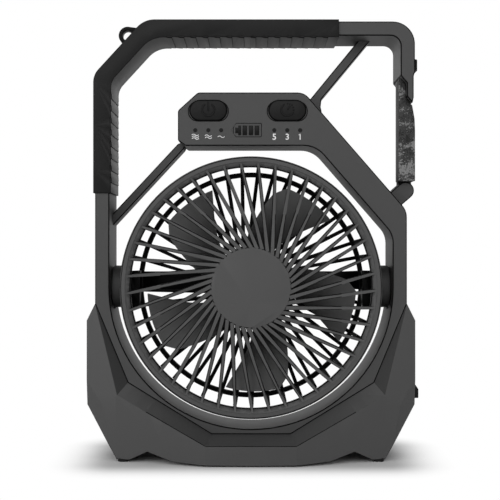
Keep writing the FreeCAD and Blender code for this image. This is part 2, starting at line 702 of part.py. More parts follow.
def spread(shape, count, angle=360.0):
    """Copies round the fan axis."""
    copies = []
    for n in range(int(count)):
        copy = shape.copy()
        copy.rotate(V(0, 0, fan_z), V(0, 1, 0), n * angle / count)
        copies.append(copy)
    return copies


# Front grille: ring with a bevelled lip, ribs at a tangent to the hub plate, and the plate.
head_r = size("head_r")
ring_front = size("ring_front")
ring_wall = size("ring_wall")
SEAM_Y = -5.0
lip_in = head_r - size("ring_lip")
FACE_IN = 3.6               # flat front of the ring, in from the outside
ring = turned([(head_r, SEAM_Y), (head_r, -ring_front + 1.4), (head_r - 0.9, -ring_front),
               (head_r - FACE_IN, -ring_front), (head_r - FACE_IN - 0.1, -ring_front + 0.9),
               (head_r - FACE_IN - 0.7, -ring_front + 0.9), (lip_in + 0.8, -ring_front + 2.6),
               (lip_in + 0.6, -ring_front + 3.4), (lip_in, -ring_front + 3.4), (lip_in, -ring_front + 5.0),
               (lip_in + 1.4, -ring_front + 6.0), (head_r - ring_wall, -ring_front + 9.5),
               (head_r - ring_wall, SEAM_Y)])
hub_r = size("hub_r")
hub_plate = turned([(0, -ring_front + 0.6), (hub_r - 0.7, -ring_front + 0.6), (hub_r, -ring_front + 1.3),
                    (hub_r, -ring_front + 3.8), (hub_r - 1.6, -ring_front + 4.4),
                    (hub_r - 1.6, -ring_front + 2.6), (0, -ring_front + 2.6)])
rib_offset = size("rib_offset")
rib_from = math.sqrt(hub_r ** 2 - rib_offset ** 2) - 0.8
rib_to = math.sqrt((head_r - FACE_IN) ** 2 - rib_offset ** 2)
rib = Part.makeBox(rib_to - rib_from, size("rib_t"), size("rib_w"),
                   V(rib_from, -ring_front + 1.0, fan_z - rib_offset - size("rib_w") / 2))
front_grille = ring.multiFuse([hub_plate] + spread(rib, size("rib_count"))).removeSplitter()
solid("front_grille", front_grille)

# Rear grille: rim, basket ribs, hoop, motor seat, two flat arms and the tilt journals.
hoop_r = size("hoop_r")
rear_y = size("rear_y")
SEAT_T = 2.4
BOSS_R = 9.8                # motor's rear boss, through the seat
RIM_BACK = 4.0
POD_R = size("pod_r")
rim = turned([(head_r, SEAM_Y), (head_r, RIM_BACK), (head_r - ring_wall, RIM_BACK),
              (head_r - ring_wall, SEAM_Y)])
hoop = turned([(hoop_r - 1.5, rear_y - 3.0), (hoop_r + 1.5, rear_y - 3.0), (hoop_r + 1.5, rear_y),
               (hoop_r - 1.5, rear_y)])
seat = turned([(BOSS_R + 0.2, rear_y - SEAT_T), (POD_R, rear_y - SEAT_T), (POD_R, rear_y),
               (BOSS_R + 0.2, rear_y)])
rear_rib_w = size("rear_rib_w")
rib_profile = [(head_r - 0.5, RIM_BACK - 2), (head_r - 0.5, RIM_BACK + 2), (hoop_r + 1.2, rear_y - 0.2),
               (POD_R - 3, rear_y - 0.2), (POD_R - 3, rear_y - 2.2), (hoop_r - 1.0, rear_y - 2.2),
               (head_r - ring_wall, RIM_BACK - 1)]
points = [V(r, y, fan_z + size("rear_offset") - rear_rib_w / 2) for r, y in rib_profile]
rear_rib = Part.Face(Part.makePolygon(points + points[:1])).extrude(V(0, 0, rear_rib_w))
rear_rib.rotate(V(0, 0, fan_z), V(0, 1, 0), -size("rear_turn"))
rear_ribs = spread(rear_rib, size("rib_count"))
ARM_Z = (-2.7, 9.3)         # flat arms, below and above the fan axis
ARM_T = 2.2
PIVOT_Z = (-14.0, 10.0)     # blocks that carry the journals
journal_end = post_in + BUSH_L + side_gap + COLLAR_T
rear_parts = [hoop, seat] + rear_ribs
for side in (-1, 1):
    low, high = sorted((side * (POD_R - 2), side * (hoop_r + 1)))
    rear_parts.append(Part.makeBox(high - low, ARM_T, ARM_Z[1] - ARM_Z[0],
                                   V(low, rear_y - ARM_T - 0.1, fan_z + ARM_Z[0])))
    low, high = sorted((side * (hoop_r - 0.5), side * (head_r - 0.4)))
    rear_parts.append(Part.makeBox(high - low, rear_y - 0.3 - SEAM_Y - 0.2, PIVOT_Z[1] - PIVOT_Z[0],
                                   V(low, SEAM_Y + 0.2, fan_z + PIVOT_Z[0])))
    low, high = sorted((side * (head_r - 4.0), side * disc_face))
    rear_parts.append(along_x(size("disc_r"), 0, fan_z, low, high))
    low, high = sorted((side * (disc_face - 1), side * journal_end))
    rear_parts.append(along_x(size("stub_r"), 0, fan_z, low, high))
    low, high = sorted((side * (journal_end - COLLAR_T), side * journal_end))
    rear_parts.append(along_x(COLLAR_R, 0, fan_z, low, high))
rear_grille = rim.multiFuse(rear_parts)
wire_way = along_x(2.4, 0, fan_z, -post_out, post_out)
ring_room = Part.makeCylinder(head_r + 0.02, 40, V(0, SEAM_Y - 40, fan_z), V(0, 1, 0))
blade_room = Part.makeCylinder(head_r - ring_wall, RIM_BACK + 14 - SEAM_Y, V(0, SEAM_Y - 6, fan_z),
                               V(0, 1, 0))
inner_room = Part.makeCylinder(hoop_r - 1.0, 60, V(0, -40, fan_z), V(0, 1, 0)).common(
    Part.makeBox(400, 40 + rear_y - SEAT_T, 400, V(-200, -40, 0)))
rear_grille = rear_grille.cut([ring_room, blade_room, inner_room, wire_way]).removeSplitter()
solid("rear_grille", rear_grille)

# Motor, its rear pod, and the screws that hold the pod to the rear grille.
MOTOR_R = size("motor_r")
MOTOR_FRONT = 4.0
BOSS_BACK = rear_y + 4.0
POD_BACK = rear_y + 7.5
SHAFT_BORE = size("shaft_r") + running_gap
pod_cut = Part.makeCylinder(MOTOR_R + 1.0, 6.5, V(0, rear_y - 1, fan_z), V(0, 1, 0))
pod = turned([(0, rear_y), (POD_R, rear_y), (POD_R - 0.6, POD_BACK - 3.0), (POD_R - 4, POD_BACK),
              (0, POD_BACK)]).cut(pod_cut)
motor = turned([(SHAFT_BORE, MOTOR_FRONT), (MOTOR_R - 1, MOTOR_FRONT), (MOTOR_R, MOTOR_FRONT + 1),
                (MOTOR_R, rear_y - SEAT_T), (BOSS_R, rear_y - SEAT_T), (BOSS_R, BOSS_BACK),
                (SHAFT_BORE, BOSS_BACK)])
POD_SCREW_R = 1.0
POD_HEAD = (2.0, 1.6)       # head radius and thickness
screw_ring = (POD_R + MOTOR_R + 1.0) / 2
POD_SCREWS = [(screw_ring * math.cos(math.radians(a)), fan_z + screw_ring * math.sin(math.radians(a)))
              for a in (45, 135, 225, 315)]
pod_holes = [along_y(POD_SCREW_R, x, z, rear_y - 5, BOSS_BACK) for x, z in POD_SCREWS]
solid("motor", motor)
solid("motor_pod", pod.cut(pod_holes))
rear_grille_node = nodes[-3]
rear_grille_node.Shape = rear_grille.cut(pod_holes)
pod_screws = []
for x, z in POD_SCREWS:
    pod_screws.append(along_y(POD_SCREW_R, x, z, rear_y - SEAT_T, BOSS_BACK).fuse(
        along_y(POD_HEAD[0], x, z, rear_y - SEAT_T - POD_HEAD[1], rear_y - SEAT_T)).removeSplitter())
solid("pod_screws", Part.makeCompound(pod_screws))

# Impeller: a domed hub and swept, twisted blades lofted from the root to the tip.
blade_r = size("blade_r")
impeller_hub_r = size("impeller_hub_r")
blade_t = size("blade_t")
HUB_FRONT = -17.0
HUB_BACK = 1.5
HUB_BOSS_R = 6.0
hub = turned([(size("shaft_r"), HUB_FRONT + 1.2), (HUB_BOSS_R, HUB_FRONT), (impeller_hub_r - 4, HUB_FRONT),
              (impeller_hub_r - 1, HUB_FRONT + 1.2), (impeller_hub_r, HUB_FRONT + 4),
              (impeller_hub_r, HUB_BACK), (impeller_hub_r - 2, HUB_BACK), (impeller_hub_r - 2, HUB_FRONT + 5),
              (HUB_BOSS_R, HUB_FRONT + 5), (HUB_BOSS_R, HUB_BACK), (size("shaft_r"), HUB_BACK)])
# Each blade station: radius, angle of its trailing and leading edge (clockwise from up,
# seen from the front), and how far behind the blade's middle the leading edge lies.
STATIONS = [(0.28, -20.0, 32.0, 7.5), (0.5, -3.0, 35.5, 7.0), (0.75, 8.0, 44.0, 6.0), (1.02, 16.5, 50.5, 5.0)]
BLADE_MID = -8.5
BLADE_CAMBER = 1.6


def station(share, trail, lead, drop):
    """A thin cambered section standing across the blade at one radius."""
    radius = share * blade_r
    spots = []
    across_blade = ((trail, -drop), ((trail + lead) / 2, -BLADE_CAMBER), (lead, drop))
    for angle, shift in across_blade:
        turn = math.radians(angle)
        spots.append(V(radius * math.sin(turn), BLADE_MID + shift, fan_z + radius * math.cos(turn)))
    lift = V(0, blade_t / 2, 0)
    front = Part.Arc(spots[0] - lift, spots[1] - lift, spots[2] - lift).toShape()
    back = Part.Arc(spots[0] + lift, spots[1] + lift, spots[2] + lift).toShape()
    ends = [Part.makeLine(spot - lift, spot + lift) for spot in (spots[0], spots[2])]
    return Part.Wire(Part.sortEdges([front, back] + ends)[0])


blade = Part.makeLoft([station(*s) for s in STATIONS], True, False)


def on_face(angle, radius):
    turn = math.radians(angle)
    return radius * math.sin(turn), fan_z + radius * math.cos(turn)


blade_outline = [on_face(-40, 14), on_face(-15, 30), on_face(0, 48.2), (*on_face(12.0, 63.6), 6.0),
                 (*on_face(20.5, blade_r + 0.4), 5.0), (*on_face(35, blade_r + 5), 20.0),
                 (*on_face(51.0, blade_r + 1.2), 2.5), on_face(42, 48.7), on_face(35, 34), on_face(44, 14)]
edges = [e.toShape() for e in outline(blade_outline)]
trim = Part.Face(Part.Wire(Part.sortEdges(edges)[0]))
trim.rotate(V(), V(1, 0, 0), 90)
trim.translate(V(0, -40, 0))
trim = trim.extrude(V(0, 60, 0)).common(Part.makeCylinder(blade_r, 60, V(0, -40, fan_z), V(0, 1, 0)))
trim = trim.cut(Part.makeCylinder(impeller_hub_r - 1.5, 60, V(0, -40, fan_z), V(0, 1, 0)))
blade = blade.common(trim)
impeller = hub.multiFuse(spread(blade, size("blade_count"))).removeSplitter()
solid("impeller", impeller)
solid("motor_shaft", along_y(size("shaft_r"), 0, fan_z, HUB_FRONT - 1.0, rear_y + 3.0))
nut = Part.makeCylinder(4.2, 2.4, V(0, HUB_FRONT - 2.4, fan_z), V(0, 1, 0)).cut(
    along_y(size("shaft_r"), 0, fan_z, HUB_FRONT - 1.0, HUB_FRONT + 3))
solid("shaft_cap", nut)

# Console: keys with a hidden flange, indicator lenses, battery gauge, board and switches.
FLANGE = 1.2
TAB = 1.2
TAB_H = 2.2                 # half height of the tabs
STEM = (3.0, 2.2)           # radius and length
for label, x in KEY_X.items():
    cap = plate(label + "_cap", stadium(x, KEY_Z, key_w, key_h),
                f"-({half_depth}) - size.key_proud", f"-({inner_face}) + 0.6")
    half_tab = f"size.key_w / 2 + {TAB}"
    flange = box(label + "_flange",
                 (f"{x} - ({half_tab})", f"-({inner_face}) + 0.1", f"size.key_z - {TAB_H}"),
                 (f"{x} + {half_tab}", f"-({inner_face}) + {FLANGE}", f"size.key_z + {TAB_H}"))
    stem = rod(label + "_stem", str(STEM[0]), str(STEM[1]), (str(x), f"-({inner_face}) + 1", "size.key_z"))
    finish(fuse(label, [cap, flange, stem]), label)
lenses = fuse("lens_group", [rod(f"lens_{n}", str(LENS_R), "size.wall + 1.0",
                                 (str(x), f"-({half_depth}) - 0.1", str(LENS_Z)))
                             for n, x in enumerate(LENS_X)])
finish(lenses, "indicator_lenses")
finish(plate("gauge", GAUGE, f"-({half_depth}) + 0.3", f"-({inner_face}) + 0.4"), "battery_gauge")
BOARD_Y = 8.4 - depth
BOARD_T = 1.6
SWITCH = (6.0, 1.2)         # side and height
reach = SWITCH[0] / 2
board = box("board", (str(KEY_X["power_key"] - 9.9), str(BOARD_Y), str(console_low + 4)),
            (str(KEY_X["timer_key"] + 11.7), str(BOARD_Y + BOARD_T), str(KEY_Z + 5.1)))
finish(board, "control_board")
switches = []
for label, x in KEY_X.items():
    switches.append(box(label + "_switch", (str(x - reach), str(BOARD_Y - SWITCH[1]), str(KEY_Z - reach)),
                        (str(x + reach), str(BOARD_Y), str(KEY_Z + reach))))
finish(fuse("switch_group", switches), "key_switches")

# Base inside: four cells in two cradles, the charging board and its sockets.
cell_r, cell_l = size("cell_r"), size("cell_l")
CELL_SHIFT = 13.0
CELL_GAP = 0.1
CRADLE_L = 12.0
CRADLE_WALL = 1.0
edge = RIM_LOW - RIM_SIDE
edge.normalize()
down = V(edge.z, 0, -edge.x)
if down.z > 0:
    down = down * -1
line_r = abs((RIM_SIDE - V(0, -depth, fan_z)).dot(down)) + base_wall + 2 * side_gap + cell_r
for side, word in ((-1, "left"), (1, "right")):
    middle = V(0, 0, fan_z) + down * line_r - edge * CELL_SHIFT
    low_end = middle + edge * (cell_l / 2)
    direction = V(-edge.x, 0, -edge.z)
    if side > 0:
        low_end.x, direction.x = -low_end.x, -direction.x
    cells = []
    for n, y in enumerate((-cell_r - CELL_GAP, cell_r + CELL_GAP), 1):
        cell = Part.makeCylinder(cell_r, cell_l, V(low_end.x, y, low_end.z), direction)
        cells.append(cell)
        solid(f"battery_cell_{word}_{n}", cell)
    mid = low_end + direction * (cell_l / 2)
    cradle_end = V(mid.x, 0, mid.z) - direction * (CRADLE_L / 2)
    cradle = Part.makeCylinder(cell_r + CRADLE_WALL, CRADLE_L, cradle_end, direction)
    solid(f"cell_spacer_{word}", cradle.cut(cells).common(hollow))
CHARGE_X = (8.0, 6.6)       # faces of the charging board, in from the base's side
finish(box("charge", (f"size.side_x - {CHARGE_X[0]}", "-size.port_w / 2 - 3", "size.port_z - 4.5"),
           (f"size.side_x - {CHARGE_X[1]}", "size.port_w / 2 + 3", "size.port_z + 22.5")), "charge_board")
SOCKET = V(5.8, 9.0, 3.3)
SOCKET_WALL = 0.4
TONGUE = V(4.4, 6.7, 0.7)
socket_x = side_x - CHARGE_X[1]
for word, y in (("in", -side_gap / 2 - SOCKET.y - 0.35), ("out", side_gap / 2 + 0.35)):
    socket = Part.makeBox(*SOCKET, V(socket_x, y, port_z - SOCKET.z / 2))
    mouth = Part.makeBox(SOCKET.x, SOCKET.y - 2 * SOCKET_WALL, SOCKET.z - 2 * SOCKET_WALL,
                         V(socket_x + 1.0, y + SOCKET_WALL, port_z - SOCKET.z / 2 + SOCKET_WALL))
    tongue = Part.makeBox(*TONGUE, V(socket_x + 0.8, y + (SOCKET.y - TONGUE.y) / 2, port_z - TONGUE.z / 2))
    solid(f"usb_c_socket_{word}", socket.cut(mouth).fuse(tongue).removeSplitter())

# Port cover: a rubber flap over the sockets, turning about its upper edge.
COVER_OVER = 1.0            # the flap laps over the opening by this much
COVER_Z = (port_z - size("port_h") / 2 - COVER_OVER, port_z + size("port_h") / 2 + COVER_OVER)
COVER_Y = size("port_w") / 2 + COVER_OVER
cover_face = [(side_x + side_gap, COVER_Z[0]), (side_x + 3.2, COVER_Z[0]), (side_x + 3.2, COVER_Z[1] - 3.0),
              (side_x + 1.2, COVER_Z[1]), (side_x + side_gap, COVER_Z[1])]
cover = Part.Face(Part.makePolygon([V(x, -COVER_Y, z) for x, z in cover_face + cover_face[:1]]))
cover = cover.extrude(V(0, 2 * COVER_Y, 0))
solid("port_cover", cover)

# Gate: a core that turns on the pin, with a printed cover on its front. The upper end
# follows the nose at a small gap, and the rear part of its inner side slants away.
GATE_LOW = gate_z + knuckle_r + side_gap
GATE_IN = upper_in - 0.8
GATE_OUT = upper_out + 0.7
gate_gap = size("gate_gap")
gate_depth = size("gate_depth")
gate_head = [(x - gate_gap, z - 0.75 * gate_gap) for x, z in nose_in[1:]]
head_z, tip_z = nose_in[0][1], gate_head[-1][1]
gate_corners = [(GATE_IN, GATE_LOW), (GATE_IN, head_z - 2.7), (upper_in + 0.2, head_z - 0.8), *gate_head,
                (gate_head[-1][0] + 0.8, tip_z - 0.7), (GATE_OUT - 0.3, tip_z - 9.7),
                (GATE_OUT, tip_z - 17.7), (GATE_OUT, GATE_LOW)]
cover_back = "-size.gate_depth / 2 + size.cover_t"
cover = plate("cover_block", gate_corners, "-size.gate_depth / 2", cover_back)
finish(cover, "gate_cover")
core_plate = plate("gate_core_block", gate_corners, cover_back, "size.gate_depth / 2")
neck_half = size("neck_w") / 2
NECK_R = 4.6
neck_corners = [(gate_x - NECK_R, gate_z), (gate_x + NECK_R, gate_z), (gate_x + NECK_R, GATE_LOW + 1),
                (gate_x - NECK_R, GATE_LOW + 1)]
neck_plate = plate("gate_neck", neck_corners, str(-neck_half), str(neck_half))
neck_round = rod("gate_eye", str(NECK_R), "size.neck_w", ("size.gate_x", str(-neck_half), "size.gate_z"))
pin_bore = rod("gate_bore", "size.pin_r + size.running_gap", "size.gate_depth",
               ("size.gate_x", "-size.gate_depth / 2", "size.gate_z"))
core = cut("gate_core_cut", fuse("gate_core_body", [core_plate, neck_plate, neck_round]), [pin_bore])
doc.recompute()
SLANT_FROM = -0.4           # depth at which the inner side starts to slant
SLANT = 3.5                 # how far it has slanted at the rear
slant_y, slant_z = gate_depth / 2 + 1, GATE_LOW - 1
slant = [V(GATE_IN - 1, SLANT_FROM, slant_z), V(GATE_IN, SLANT_FROM, slant_z),
         V(GATE_IN + SLANT, slant_y, slant_z), V(GATE_IN - 1, slant_y, slant_z)]
slant_cut = Part.Face(Part.makePolygon(slant + slant[:1])).extrude(V(0, 0, top))
solid("gate_core", core.Shape.cut(slant_cut))
finish(rod("pin", "size.pin_r", f"2 * size.ear_out - {2 * PIN_SUNK}",
           ("size.gate_x", f"{PIN_SUNK} - size.ear_out", "size.gate_z")), "gate_pin")

# Release button: its hidden flange slides in the post.
button_corners = [(upper_out - wall + side_gap, BUTTON_Z[0] + side_gap),
                  (upper_out + 0.4, BUTTON_Z[0] + side_gap), (upper_out + BUTTON_PROUD, BUTTON_Z[0] + 1.6),
                  (upper_out + BUTTON_PROUD, BUTTON_Z[1] - 1.0),
                  (upper_out + BUTTON_PROUD - 0.6, BUTTON_Z[1] - side_gap),
                  (upper_out - wall + side_gap, BUTTON_Z[1] - side_gap)]
button_cap = plate("button_cap", button_corners, f"{side_gap - BUTTON_Y}", f"{BUTTON_Y - side_gap}")
flange_y = BUTTON_Y + FLANGE_OUT
button_base = box("button_base", (str(upper_out - wall - 1.6), str(-flange_y), str(BUTTON_Z[0] - FLANGE_OUT)),
                  (str(upper_out - wall - 0.1), str(flange_y), str(BUTTON_Z[1] + FLANGE_OUT)))
bridge = box("button_bridge",
             (str(upper_out - wall - 0.5), str(side_gap - BUTTON_Y), str(BUTTON_Z[0] + side_gap)),
             (str(upper_out - wall + side_gap + 0.2), str(BUTTON_Y - side_gap), str(BUTTON_Z[1] - side_gap)))
finish(fuse("release", [button_cap, button_base, bridge]), "release_button")

doc.recompute()
os.makedirs("parts", exist_ok=True)
for thing in doc.Objects:
    if "Invalid" in thing.State or "Error" in thing.State:
        raise RuntimeError(f"{thing.Label} did not build: {thing.State}")
for piece in nodes:
    if piece.Shape.isNull() or not piece.Shape.isValid():
        raise RuntimeError(f"{piece.Label} has no valid shape")
for piece in nodes:
    piece.Shape.exportStep(f"parts/{piece.Label}.step")
    print(piece.Label, len(piece.Shape.Solids), round(piece.Shape.Volume, 1))
print(len(nodes), "sub-parts")
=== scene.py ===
import json
import math

import bmesh
import bpy
from mathutils import Matrix, Vector


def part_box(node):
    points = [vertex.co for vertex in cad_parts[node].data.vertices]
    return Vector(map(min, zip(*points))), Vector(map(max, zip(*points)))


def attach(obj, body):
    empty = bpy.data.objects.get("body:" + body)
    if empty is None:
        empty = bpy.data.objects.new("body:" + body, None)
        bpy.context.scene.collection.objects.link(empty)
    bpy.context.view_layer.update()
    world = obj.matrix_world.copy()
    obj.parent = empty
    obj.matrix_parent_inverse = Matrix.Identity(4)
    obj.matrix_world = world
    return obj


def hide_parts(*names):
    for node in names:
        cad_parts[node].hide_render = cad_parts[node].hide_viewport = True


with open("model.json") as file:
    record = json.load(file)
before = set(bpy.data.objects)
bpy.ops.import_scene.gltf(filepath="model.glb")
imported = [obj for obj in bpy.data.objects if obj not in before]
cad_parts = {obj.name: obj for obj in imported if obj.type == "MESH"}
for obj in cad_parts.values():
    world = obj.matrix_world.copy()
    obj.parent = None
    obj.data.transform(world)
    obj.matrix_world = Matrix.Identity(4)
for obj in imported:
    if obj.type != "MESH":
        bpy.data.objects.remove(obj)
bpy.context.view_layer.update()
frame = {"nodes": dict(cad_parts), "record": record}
nodeBody = {node: body for body, nodes in frame["record"]["behaviour"]["bodies"].items() for node in nodes}
nodeSlot = {entry["node"]: entry["material_slot"] for entry in frame["record"]["subparts"]}
print("frame loaded:", len(nodeBody), "nodes")

mm = 0.001
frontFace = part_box("frame_front_shell")[0].y      # the console's marks lie on this face
fanAxis = Vector((0, 0, 116.4 * mm))


# Shader graphs. A Wire is one output of a node, and sums with it add Math nodes.
class Wire:
    def __init__(self, graph, socket):
        self.graph = graph
        self.socket = socket

    def maths(self, operation, first, second):
        return self.graph.node("Math", {"operation": operation}, {0: first, 1: second})

    def __add__(self, other):
        return self.maths("ADD", self, other)

    def __rsub__(self, other):
        return self.maths("SUBTRACT", other, self)

    def __mul__(self, other):
        return self.maths("MULTIPLY", self, other)

    def __gt__(self, other):
        return self.maths("GREATER_THAN", self, other)

    __radd__ = __add__


class Graph:
    def __init__(self, owner):
        owner.use_nodes = True
        self.tree = owner.node_tree
        self.tree.nodes.clear()

    def node(self, kind, settings=None, sockets=None, output=0):
        made = self.tree.nodes.new("ShaderNode" + kind)
        for setting, value in (settings or {}).items():
            setattr(made, setting, value)
        for place, value in (sockets or {}).items():
            if isinstance(value, Wire):
                self.tree.links.new(value.socket, made.inputs[place])
            else:
                made.inputs[place].default_value = value
        return Wire(self, made.outputs[output]) if made.outputs else None

    def noise(self, scale, detail=2.0, roughness=0.5):
        where = self.node("TexCoord", output="Object")
        return self.node("TexNoise", None, {"Vector": where, "Scale": scale, "Detail": detail,
                                            "Roughness": roughness}, "Fac")

    def blend(self, share, low, high):
        return self.node("Mix", {"data_type": "RGBA"}, {0: share, 6: low, 7: high}, 2)


def grey(level, warmth=0.0):
    return (level * (1 + warmth), level, level * (1 - warmth), 1.0)


# Moulded plastic: two noises cloud its tone and gloss, and the finer one is also its grain.
plastic = {"broadScale": 38.0, "broadShare": 0.6, "fineShare": 0.4, "grainStrength": 0.35, "glossFrom": -0.06,
           "glossTurn": 0.12}


def plasticLook(name, tone, roughness, grain, grainDepth, cloud=0.06, specular=0.25, warmth=0.0):
    material = bpy.data.materials.new(name)
    graph = Graph(material)
    fine = graph.noise(grain, 3.0, 0.6)
    broad = graph.noise(plastic["broadScale"], 2.0, 0.5)
    share = broad * plastic["broadShare"] + fine * plastic["fineShare"]
    colour = graph.blend(share, grey(tone * (1 - cloud), warmth), grey(tone * (1 + cloud), warmth))
    bump = graph.node("Bump", None, {"Strength": plastic["grainStrength"], "Distance": grainDepth, "Height": fine})
    shine = graph.node("BsdfPrincipled", None, {
        "Base Color": colour, "Roughness": roughness + plastic["glossFrom"] + share * plastic["glossTurn"],
        "Normal": bump, "Specular IOR Level": specular})
    graph.node("OutputMaterial", None, {"Surface": shine})
    return material


metal = {"stretch": (400.0, 60.0, 400.0), "streakScale": 4.0, "darker": 0.85, "streakGloss": 0.15}    # drawn steel


def metalLook(name, tone, roughness):
    material = bpy.data.materials.new(name)
    graph = Graph(material)
    where = graph.node("TexCoord", output="Object")
    drawn = graph.node("Mapping", None, {"Vector": where, "Scale": metal["stretch"]})
    streaks = graph.node("TexNoise", None, {"Vector": drawn, "Scale": metal["streakScale"], "Detail": 3.0}, "Fac")
    colour = graph.blend(streaks, grey(tone * metal["darker"]), grey(tone))
    shine = graph.node("BsdfPrincipled", None, {
        "Base Color": colour, "Metallic": 1.0, "Roughness": roughness + streaks * metal["streakGloss"]})
    graph.node("OutputMaterial", None, {"Surface": shine})
    return material


# The base and ring shell tones are lighter copies of the shell tone: painted light.
tones = {"shell": 0.044, "baseShellLit": 0.052, "ringShellLit": 0.056, "wellSide": 0.026, "pivot": 0.036, "grip": 0.0055,
         # the grip's inner tone is a painted sheen on the black rubber
         "gripInnerSheen": 0.052, "key": 0.0060, "black": 0.0022, "blade": 0.075, "lens": 0.004, "gatePlain": 0.03,
         # the edge tone is painted shade: near black, for edges and faces that lie in shade
         "mark": 0.6, "barDark": 0.004, "edge": 0.002}

# Gate print: three greys in ragged blotches, each cut out of its own noise.
gatePrint = {"dark": 0.012, "middle": 0.034, "light": 0.15, "blotch": 105.0, "patch": 178.5, "rag": 700.0,
             "paleRag": 1.1, "paleFrom": 1.10, "deepPatch": 0.4, "deepFrom": 0.70, "roughness": 0.5,
             "specular": 0.12, "weave": 0.00006, "weaveStrength": 0.25}


def gatePrintLook():
    material = bpy.data.materials.new("gatePrint")
    graph = Graph(material)
    rag = graph.noise(gatePrint["rag"], 4.0, 0.75)
    blotch = graph.noise(gatePrint["blotch"], 2.0, 0.6)
    patch = graph.noise(gatePrint["patch"], 3.0, 0.7)
    pale = (blotch + rag * gatePrint["paleRag"]) > gatePrint["paleFrom"]
    deep = (patch * gatePrint["deepPatch"] + rag) > gatePrint["deepFrom"]
    colour = graph.blend(deep, grey(gatePrint["middle"]), grey(gatePrint["dark"]))
    colour = graph.blend(pale, colour, grey(gatePrint["light"]))
    bump = graph.node("Bump", None, {
        "Strength": gatePrint["weaveStrength"], "Distance": gatePrint["weave"], "Height": rag})
    shine = graph.node("BsdfPrincipled", None, {
        "Base Color": colour, "Roughness": gatePrint["roughness"] + rag * 0.1, "Normal": bump,
        "Specular IOR Level": gatePrint["specular"]})
    graph.node("OutputMaterial", None, {"Surface": shine})
    return material


looks = {
    "shell": plasticLook("shellPlastic", tones["shell"], 0.5, 1900.0, 0.00005, 0.05, 0.22),
    # lighter copies of the shell plastic for the base and the ring: painted light
    "baseShellLit": plasticLook("basePlasticLit", tones["baseShellLit"], 0.5, 1900.0, 0.00005, 0.05, 0.2),
    "ringShellLit": plasticLook("ringPlasticLit", tones["ringShellLit"], 0.5, 1900.0, 0.00005, 0.05, 0.2),
    "grip_rubber": plasticLook("gripRubber", tones["grip"], 0.42, 2400.0, 0.00004, 0.1, 0.14),
    "key_rubber": plasticLook("keyRubber", tones["key"], 0.45, 2600.0, 0.00004, 0.08, 0.12),
    "black_plastic": plasticLook("blackPlastic", tones["black"], 0.4, 1800.0, 0.00004, 0.08, 0.08),
    "blade_plastic": plasticLook("bladePlastic", tones["blade"], 0.45, 1500.0, 0.00003, 0.05),
    "gate_plastic": plasticLook("gatePlastic", tones["gatePlain"], 0.55, 1900.0, 0.00006, 0.06, 0.1),
    "gate_print": gatePrintLook(),
    "lens": plasticLook("smokedLens", tones["lens"], 0.35, 900.0, 0.00001, 0.06, 0.12),
    "steel": metalLook("platedSteel", 0.55, 0.28),
    "motor_steel": metalLook("motorSteel", 0.42, 0.36),
    "cell_wrap": plasticLook("cellWrap", 0.09, 0.35, 700.0, 0.00002, 0.05, 0.5, -0.6),
    "circuit_board": plasticLook("solderMask", 0.05, 0.35, 1400.0, 0.00003, 0.2, 0.5, -0.5),
    "bearing_plastic": plasticLook("bearingPlastic", 0.7, 0.4, 1200.0, 0.00002),
    "foot_rubber": plasticLook("footRubber", 0.005, 0.6, 2200.0, 0.00006, 0.1, 0.12),
}
markLook = plasticLook("markInk", tones["mark"], 0.55, 2600.0, 0.00001)
barLook = plasticLook("gaugeBar", tones["barDark"], 0.35, 1400.0, 0.00001, 0.05, 0.1)
# Painted shade: a near-black finish laid on edges, rib sides and other faces where shade falls.
edgeShadeLook = plasticLook("edgeShade", tones["edge"], 0.6, 1800.0, 0.00003, 0.05, 0.05)
# Painted sheen: a lighter copy of the grip rubber for its inner faces.
gripSheenLook = plasticLook("gripInnerSheen", tones["gripInnerSheen"], 0.5, 2400.0, 0.00004, 0.06, 0.14)
pivotLook = plasticLook("pivotPlastic", tones["pivot"], 0.5, 1800.0, 0.00004, 0.06, 0.15)
wellLook = plasticLook("wellSide", tones["wellSide"], 0.5, 1900.0, 0.00005, 0.05, 0.12)
print("materials ready:", len(looks) + 6)

smoothTurn = 32    # faces that meet at a wider turn than this, in degrees, keep a sharp edge


def shaded(mesh, degrees):
    mesh.shade_smooth()
    mesh.set_sharp_from_angle(angle=math.radians(degrees))


def newPiece(name, bm, body, look, degrees=smoothTurn):
    mesh = bpy.data.meshes.new(name)
    bm.to_mesh(mesh)
    bm.free()
    shaded(mesh, degrees)
    mesh.materials.append(look)
    piece = bpy.data.objects.new(name, mesh)
    bpy.context.scene.collection.objects.link(piece)
    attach(piece, body)
    return piece


def reskin(piece, look, chosen, only=None):    # gives the faces that pass a test their own finish
    piece.data.materials.append(look)
    for face in piece.data.polygons:
        if only in (None, face.material_index) and chosen(face.center / mm, face.normal):
            face.material_index = len(piece.data.materials) - 1


# Moulded pieces: the CAD solid with its outer edges rounded, in millimetres.
softEdges = {
    "base_front_shell": 0.35, "base_rear_shell": 0.35, "frame_front_shell": 0.75, "frame_rear_shell": 0.75,
    "handle_grip": 0.3, "tether_eye": 0.5, "front_grille": 0.1, "rear_grille": 0.2, "motor_pod": 0.4,
    "impeller": 0.0, "gate_core": 0.25, "gate_cover": 0.25, "port_cover": 0.5,
    "foot_front_left": 0.4, "foot_front_right": 0.4, "foot_rear_left": 0.4, "foot_rear_right": 0.4,
    "power_key": 0.7, "timer_key": 0.7, "shaft_cap": 0.3, "indicator_lenses": 0.45, "battery_gauge": 0.25,
}
edgeZones = {"front_grille": [    # the rim, and the long edges of the ribs
    {"width": 0.35, "reach": (86.0, 99.0), "grow": -1.0}, {"width": 0.4, "reach": (25.0, 80.15), "grow": 0.8}]}
plainRims = {"x": (-46.0, 38.4), "z": (214.5, 245.5), "y": (-20.5, -19.5)}    # pockets in the console's face
